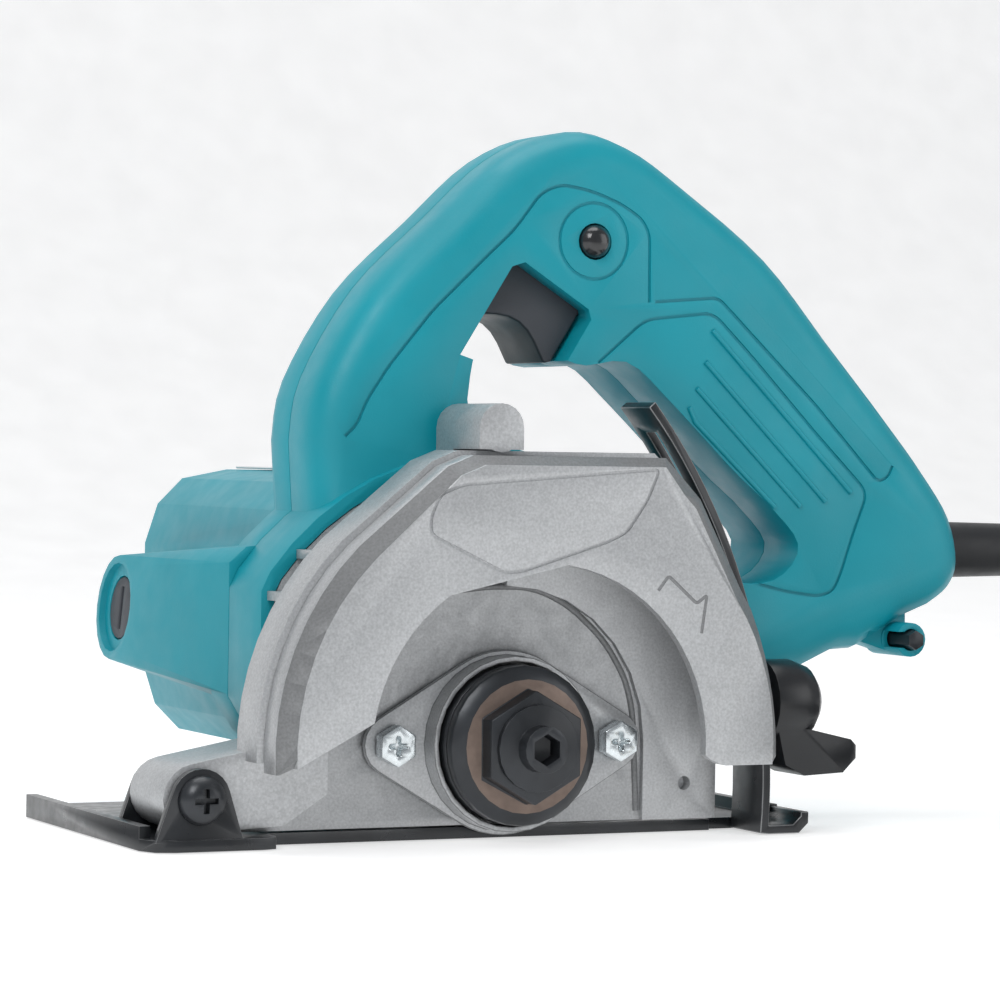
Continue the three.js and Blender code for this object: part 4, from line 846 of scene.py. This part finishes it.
class TRIMSAW_OT_castings(bpy.types.Operator):
    """Makes the blade case, gear housing and bearing retainer with their screws"""

    bl_idname = "trim_saw.castings"
    bl_label = "Castings"

    panel = [
        (-24.9, 75.7), (-19.8, 77.7), (27.4, 81.5), (24.6, 74.9), (19.7, 67.9), (15.5, 65.9),
        (-5.6, 59.3), (-9.8, 59), (-27.1, 67), (-27.2, 70.8),
    ]
    arrow = [(27.5, 55.1), (30, 58.3), (37.1, 52.2), (39.6, 54.1), (38.4, 45.7)]
    wall_ridge = [
        (-11.1, 54.4), (-2.6, 55.3), (7.4, 55), (16.2, 51), (25.1, 43.1), (30.4, 34.6),
        (32.4, 27.3), (33.6, 5),
    ]

    def execute(self, context):
        s = sizes()
        width, depth = s.groove_width, s.groove_depth / MM
        case = copy_of("blade_case", "blade_case_finished")
        panel = side_groove(self.panel, 0, depth * 0.8, width / MM, 1.6, closed=True)
        combine(case, "DIFFERENCE", panel)
        rounded(case, s.cast_edge, ["cast", "bevel", "rough_cast"])
        # Forward-facing chamfer faces round the case's edge take the darker grey: painted shade for a
        # dark reflection.
        paint_where(
            case,
            1,
            lambda p, n: -0.93 < n.y < -0.35 and p.y < 5 and radius_of(p) > 54,
        )
        stand_for(case, "blade_case")

        gear_case = rounded(
            copy_of("gear_housing", "gear_housing_finished"),
            s.cast_edge,
            ["cast", "rough_cast", "bevel"],
        )
        paint_where(gear_case, 1, lambda p, n: n.y < -0.9 and abs(p.y - WALL_Y) < 1.0)
        stand_for(gear_case, "gear_housing")
        # The wall ridge takes the darker bevel grey: painted shade for the dark band that runs along it.
        raised_line("wall_ridge", self.wall_ridge, WALL_Y, 6.0, 0.0007, "bevel")
        raised_line("case_arrow", self.arrow, 0.3, 0.8, 0.0005, "bevel")

        retainer = refined("bearing_retainer", s.cast_edge, "cast", "bevel")
        # The retainer's forward-facing chamfers take the same darker grey: painted shade for a dark
        # reflection.
        paint_where(retainer, 1, lambda p, n: -0.93 < n.y < -0.25)
        same_screws(
            "case_screws",
            ["case_screw_front", "case_screw_rear"],
            -1, 0.0046, 0.0016, s.turned_edge, "zinc",
        )
        same_screws(
            "retainer_bolts",
            ["retainer_bolt_front", "retainer_bolt_rear"],
            -1, 0.0046, 0.0016, s.turned_edge, "zinc",
        )
        return {"FINISHED"}


class TRIMSAW_OT_spindle(bpy.types.Operator):
    """Makes the spindle with its clamping flanges and bolt"""

    bl_idname = "trim_saw.spindle"
    bl_label = "Spindle"

    def execute(self, context):
        edge = sizes().turned_edge
        refined("spindle", edge, "steel")
        refined("inner_flange", edge, "black_oxide")
        flange = refined("outer_flange", edge, "black_oxide", "bronze")
        paint_where(
            flange, 1, lambda p, n: n.y < -0.98 and 9.0 < radius_of(p) < 15.2
        )
        refined("flange_bolt", edge, "black_oxide")
        return {"FINISHED"}


class TRIMSAW_OT_housing(bpy.types.Operator):
    """Makes the moulded handle and motor housing with their grooves, ribs and caps"""

    bl_idname = "trim_saw.housing"
    bl_label = "Housing"

    outer_groove = [
        (-33.1, 87.7), (-30.3, 90.3), (-28.1, 95.6), (-22.7, 103.6), (-12.4, 116), (0.5, 128.3),
        (7.3, 134.5), (13.8, 143), (18.6, 145.1), (26.3, 144), (34.1, 141.3), (39.4, 138.1),
        (41.4, 134.7), (41.6, 119.3),
    ]
    grip_groove = [
        (43.2, 119.5), (59.5, 120.9), (71.8, 109.5), (85.6, 96.9), (102.9, 79.2), (105.7, 80.2),
        (106.9, 82.9),
    ]
    window_groove = [
        (28.8, 105.3), (40.7, 115.4), (58.2, 117.4), (69.1, 107.1), (85.8, 90.3), (100.2, 76.5),
        (96.6, 67.5), (93.3, 57.7), (91.3, 53.5), (87.2, 52.3), (79.6, 53.2), (71.5, 55),
        (66.4, 56.4),
    ]
    ribs = [
        [(58.1, 113.4), (95.7, 76.5)],
        [(56.4, 106.1), (88.8, 74.4)],
        [(54.2, 100), (82, 73.2)],
        [(52.3, 95.6), (54, 92.2), (75.2, 73)],
    ]
    button_ring = (27.2, 132.7, 8.6)

    def execute(self, context):
        s = sizes()
        width, depth = s.groove_width / MM, s.groove_depth / MM
        cover = copy_of("handle_cover", "handle_cover_finished")
        cx, cz, ring_r = self.button_ring
        ring = [
            (cx + ring_r * math.cos(a), cz + ring_r * math.sin(a))
            for a in (2 * math.pi * i / 32 for i in range(32))
        ]
        cuts = [
            side_groove(self.outer_groove, GRIP_NEAR_Y, depth, width, 3.0),
            side_groove(self.grip_groove, GRIP_NEAR_Y, depth, width, 2.0),
            side_groove(self.window_groove, GRIP_NEAR_Y, depth, width, 3.0),
            side_groove(ring, GRIP_NEAR_Y, depth * 0.8, width, 0.1, closed=True),
        ]
        combine(cover, "DIFFERENCE", *cuts)
        rounded(cover, s.moulded_edge * 0.4, ["housing"], limit=52.0, smooth=50.0)
        stand_for(cover, "handle_cover")
        points, links = [], []
        for rib in self.ribs:
            first = len(points)
            points += [at(x, GRIP_NEAR_Y, z) for x, z in rib]
            links += [(i, i + 1) for i in range(first, len(points) - 1)]
        values = {"Radius": s.rib_radius, "Finish": finish("housing")}
        ribs = grown("grip_ribs", points, links, ribs_tree(), values)
        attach(ribs, "saw_body")

        motor = rounded(
            copy_of("motor_housing", "motor_housing_finished"),
            s.moulded_edge * 0.3,
            ["housing"],
            limit=52.0,
            smooth=50.0,
            flatten=False,
        )
        stand_for(motor, "motor_housing")
        for node in ("brush_cap_front", "brush_cap_rear"):
            refined(node, s.turned_edge, "dark_plastic")
        refined("rating_plate", s.turned_edge, "plate")
        same_screws(
            "handle_screws",
            [f"handle_screw_{i}" for i in range(1, 6)],
            1, 0.0034, 0.0014, s.turned_edge, "black_oxide",
        )
        return {"FINISHED"}


class TRIMSAW_OT_controls(bpy.types.Operator):
    """Makes the trigger, lock button, depth lever and clipped hex key"""

    bl_idname = "trim_saw.controls"
    bl_label = "Controls"

    def execute(self, context):
        s = sizes()
        trigger = refined("trigger", s.moulded_edge, "dark_plastic", "shaded_finger_face", segments=3)
        # Trigger faces that look down and forward take the darker grey: painted shade.
        paint_where(trigger, 1, lambda p, n: n.x * 0.53 + n.z * 0.848 < -0.6)
        refined("lock_button", s.moulded_edge, "button", segments=3, limit=25.0, smooth=70.0)
        refined("depth_lever", s.moulded_edge, "black_plastic", segments=3)
        refined("lever_bolt", s.turned_edge, "zinc")
        refined("hex_key", s.turned_edge, "black_oxide", smooth=40.0)
        return {"FINISHED"}


class TRIMSAW_OT_base(bpy.types.Operator):
    """Makes the base plate and depth guide with their pivot screw and nut"""

    bl_idname = "trim_saw.base"
    bl_label = "Base"

    def execute(self, context):
        s = sizes()
        refined("base_plate", s.sheet_edge, "black_steel", "bright_edge", edge_slot=1)
        refined("depth_guide", s.sheet_edge, "black_steel", "bright_edge", edge_slot=1)
        screw = rounded(
            recessed("pivot_screw", -1, 0.0052, 0.0018), s.turned_edge, ["black_oxide"]
        )
        stand_for(screw, "pivot_screw")
        refined("pivot_nut", s.turned_edge, "zinc")
        return {"FINISHED"}


INNER_FINISHES = {
    "spindle_front_bearing": "steel",
    "spindle_rear_bearing": "steel",
    "spindle_gear": "steel",
    "armature_pinion": "steel",
    "gear_cover": "cast",
    "armature_shaft": "steel",
    "armature_front_bearing": "steel",
    "armature_tail_bearing": "steel",
    "armature_core": "copper",
    "commutator": "copper",
    "cooling_fan": "plate",
    "fan_baffle": "black_plastic",
    "field_core": "iron",
    "brush_holder_front": "brass",
    "brush_holder_rear": "brass",
    "carbon_brush_front": "carbon",
    "carbon_brush_rear": "carbon",
    "brush_spring_front": "steel",
    "brush_spring_rear": "steel",
    "switch_body": "black_plastic",
    "cord_clamp": "dark_plastic",
    "inner_lead": "insulation",
}


class TRIMSAW_OT_inside(bpy.types.Operator):
    """Gives the pieces inside the housings their finishes"""

    bl_idname = "trim_saw.inside"
    bl_label = "Inside"

    def execute(self, context):
        for node, name in INNER_FINISHES.items():
            mesh = frame["nodes"][node].data
            mesh.materials.clear()
            mesh.materials.append(finish(name))
        return {"FINISHED"}


def area_light(name, place, target, size, energy):
    """A soft square light that shines at a target."""
    data = bpy.data.lights.new(name, "AREA")
    data.size = size
    data.energy = energy
    light = bpy.data.objects.new(name, data)
    bpy.context.scene.collection.objects.link(light)
    turn = (target - place).to_track_quat("-Z", "Y").to_matrix().to_4x4()
    light.matrix_world = Matrix.Translation(place) @ turn
    return light


class TRIMSAW_OT_stage(bpy.types.Operator):
    """Makes the pale sweep the saw stands on, and lights it softly"""

    bl_idname = "trim_saw.stage"
    bl_label = "Stage"

    def execute(self, context):
        work = bmesh.new()
        profile = [(-3.0, 0.0), (1.2, 0.0)]
        profile += [
            (1.2 + 0.8 * math.sin(a), 0.8 - 0.8 * math.cos(a))
            for a in (math.radians(9 * i) for i in range(1, 11))
        ]
        profile.append((2.0, 3.0))
        rings = [
            [work.verts.new((x, y, z - 0.0002)) for x in (-3.0, 3.0)] for y, z in profile
        ]
        for a, b in zip(rings, rings[1:]):
            work.faces.new((a[0], a[1], b[1], b[0]))
        mesh = bpy.data.meshes.new("sweep")
        work.to_mesh(mesh)
        work.free()
        sweep = new_object("sweep", mesh)
        for polygon in mesh.polygons:
            polygon.use_smooth = True
        paper = moulded("pale_paper", colours().floor, 0.75, 0.9, 0.002, 0.000005)
        surface = paper.node_tree.nodes["Principled BSDF"]
        surface.inputs["Emission Color"].default_value = (1.0, 1.0, 1.0, 1.0)
        surface.inputs["Emission Strength"].default_value = 0.55
        mesh.materials.append(paper)
        target = at(20, 60, 70)
        lights = [
            area_light("key", at(-700, -700, 900), target, 0.6, 6.5),
            area_light("fill", at(800, -600, 350), target, 0.6, 1.6),
            area_light("top", at(50, 150, 1100), target, 0.8, 5.5),
        ]
        world = bpy.data.worlds.new("studio")
        world.use_nodes = True
        world.node_tree.nodes["Background"].inputs["Color"].default_value = (0.93, 0.96, 1.0, 1.0)
        world.node_tree.nodes["Background"].inputs["Strength"].default_value = 0.34
        context.scene.world = world
        context.scene.view_settings.view_transform = "Standard"
        return {"FINISHED"}


class TRIMSAW_PT_panel(bpy.types.Panel):
    """Sizes, colours and the pieces in order"""

    bl_idname = "TRIMSAW_PT_panel"
    bl_label = "Trim saw"
    bl_space_type = "VIEW_3D"
    bl_region_type = "UI"
    bl_category = "Trim saw"

    def draw(self, context):
        for settings in (context.scene.trim_saw_sizes, context.scene.trim_saw_colours):
            column = self.layout.column()
            for name in settings.__annotations__:
                column.prop(settings, name)
        column = self.layout.column()
        for step in STEPS:
            column.operator(step.bl_idname)


STEPS = (
    TRIMSAW_OT_camera,
    TRIMSAW_OT_cord,
    TRIMSAW_OT_castings,
    TRIMSAW_OT_spindle,
    TRIMSAW_OT_housing,
    TRIMSAW_OT_controls,
    TRIMSAW_OT_base,
    TRIMSAW_OT_inside,
    TRIMSAW_OT_stage,
)

CLASSES = (TrimSawSizes, TrimSawColours, *STEPS, TRIMSAW_PT_panel)


def register():
    for cls in CLASSES:
        bpy.utils.register_class(cls)
    bpy.types.Scene.trim_saw_sizes = PointerProperty(type=TrimSawSizes)
    bpy.types.Scene.trim_saw_colours = PointerProperty(type=TrimSawColours)


def unregister():
    del bpy.types.Scene.trim_saw_colours
    del bpy.types.Scene.trim_saw_sizes
    for cls in reversed(CLASSES):
        bpy.utils.unregister_class(cls)


def main():
    register()
    for step in STEPS:
        group, name = step.bl_idname.split(".")
        getattr(getattr(bpy.ops, group), name)()


if __name__ == "__main__":
    main()
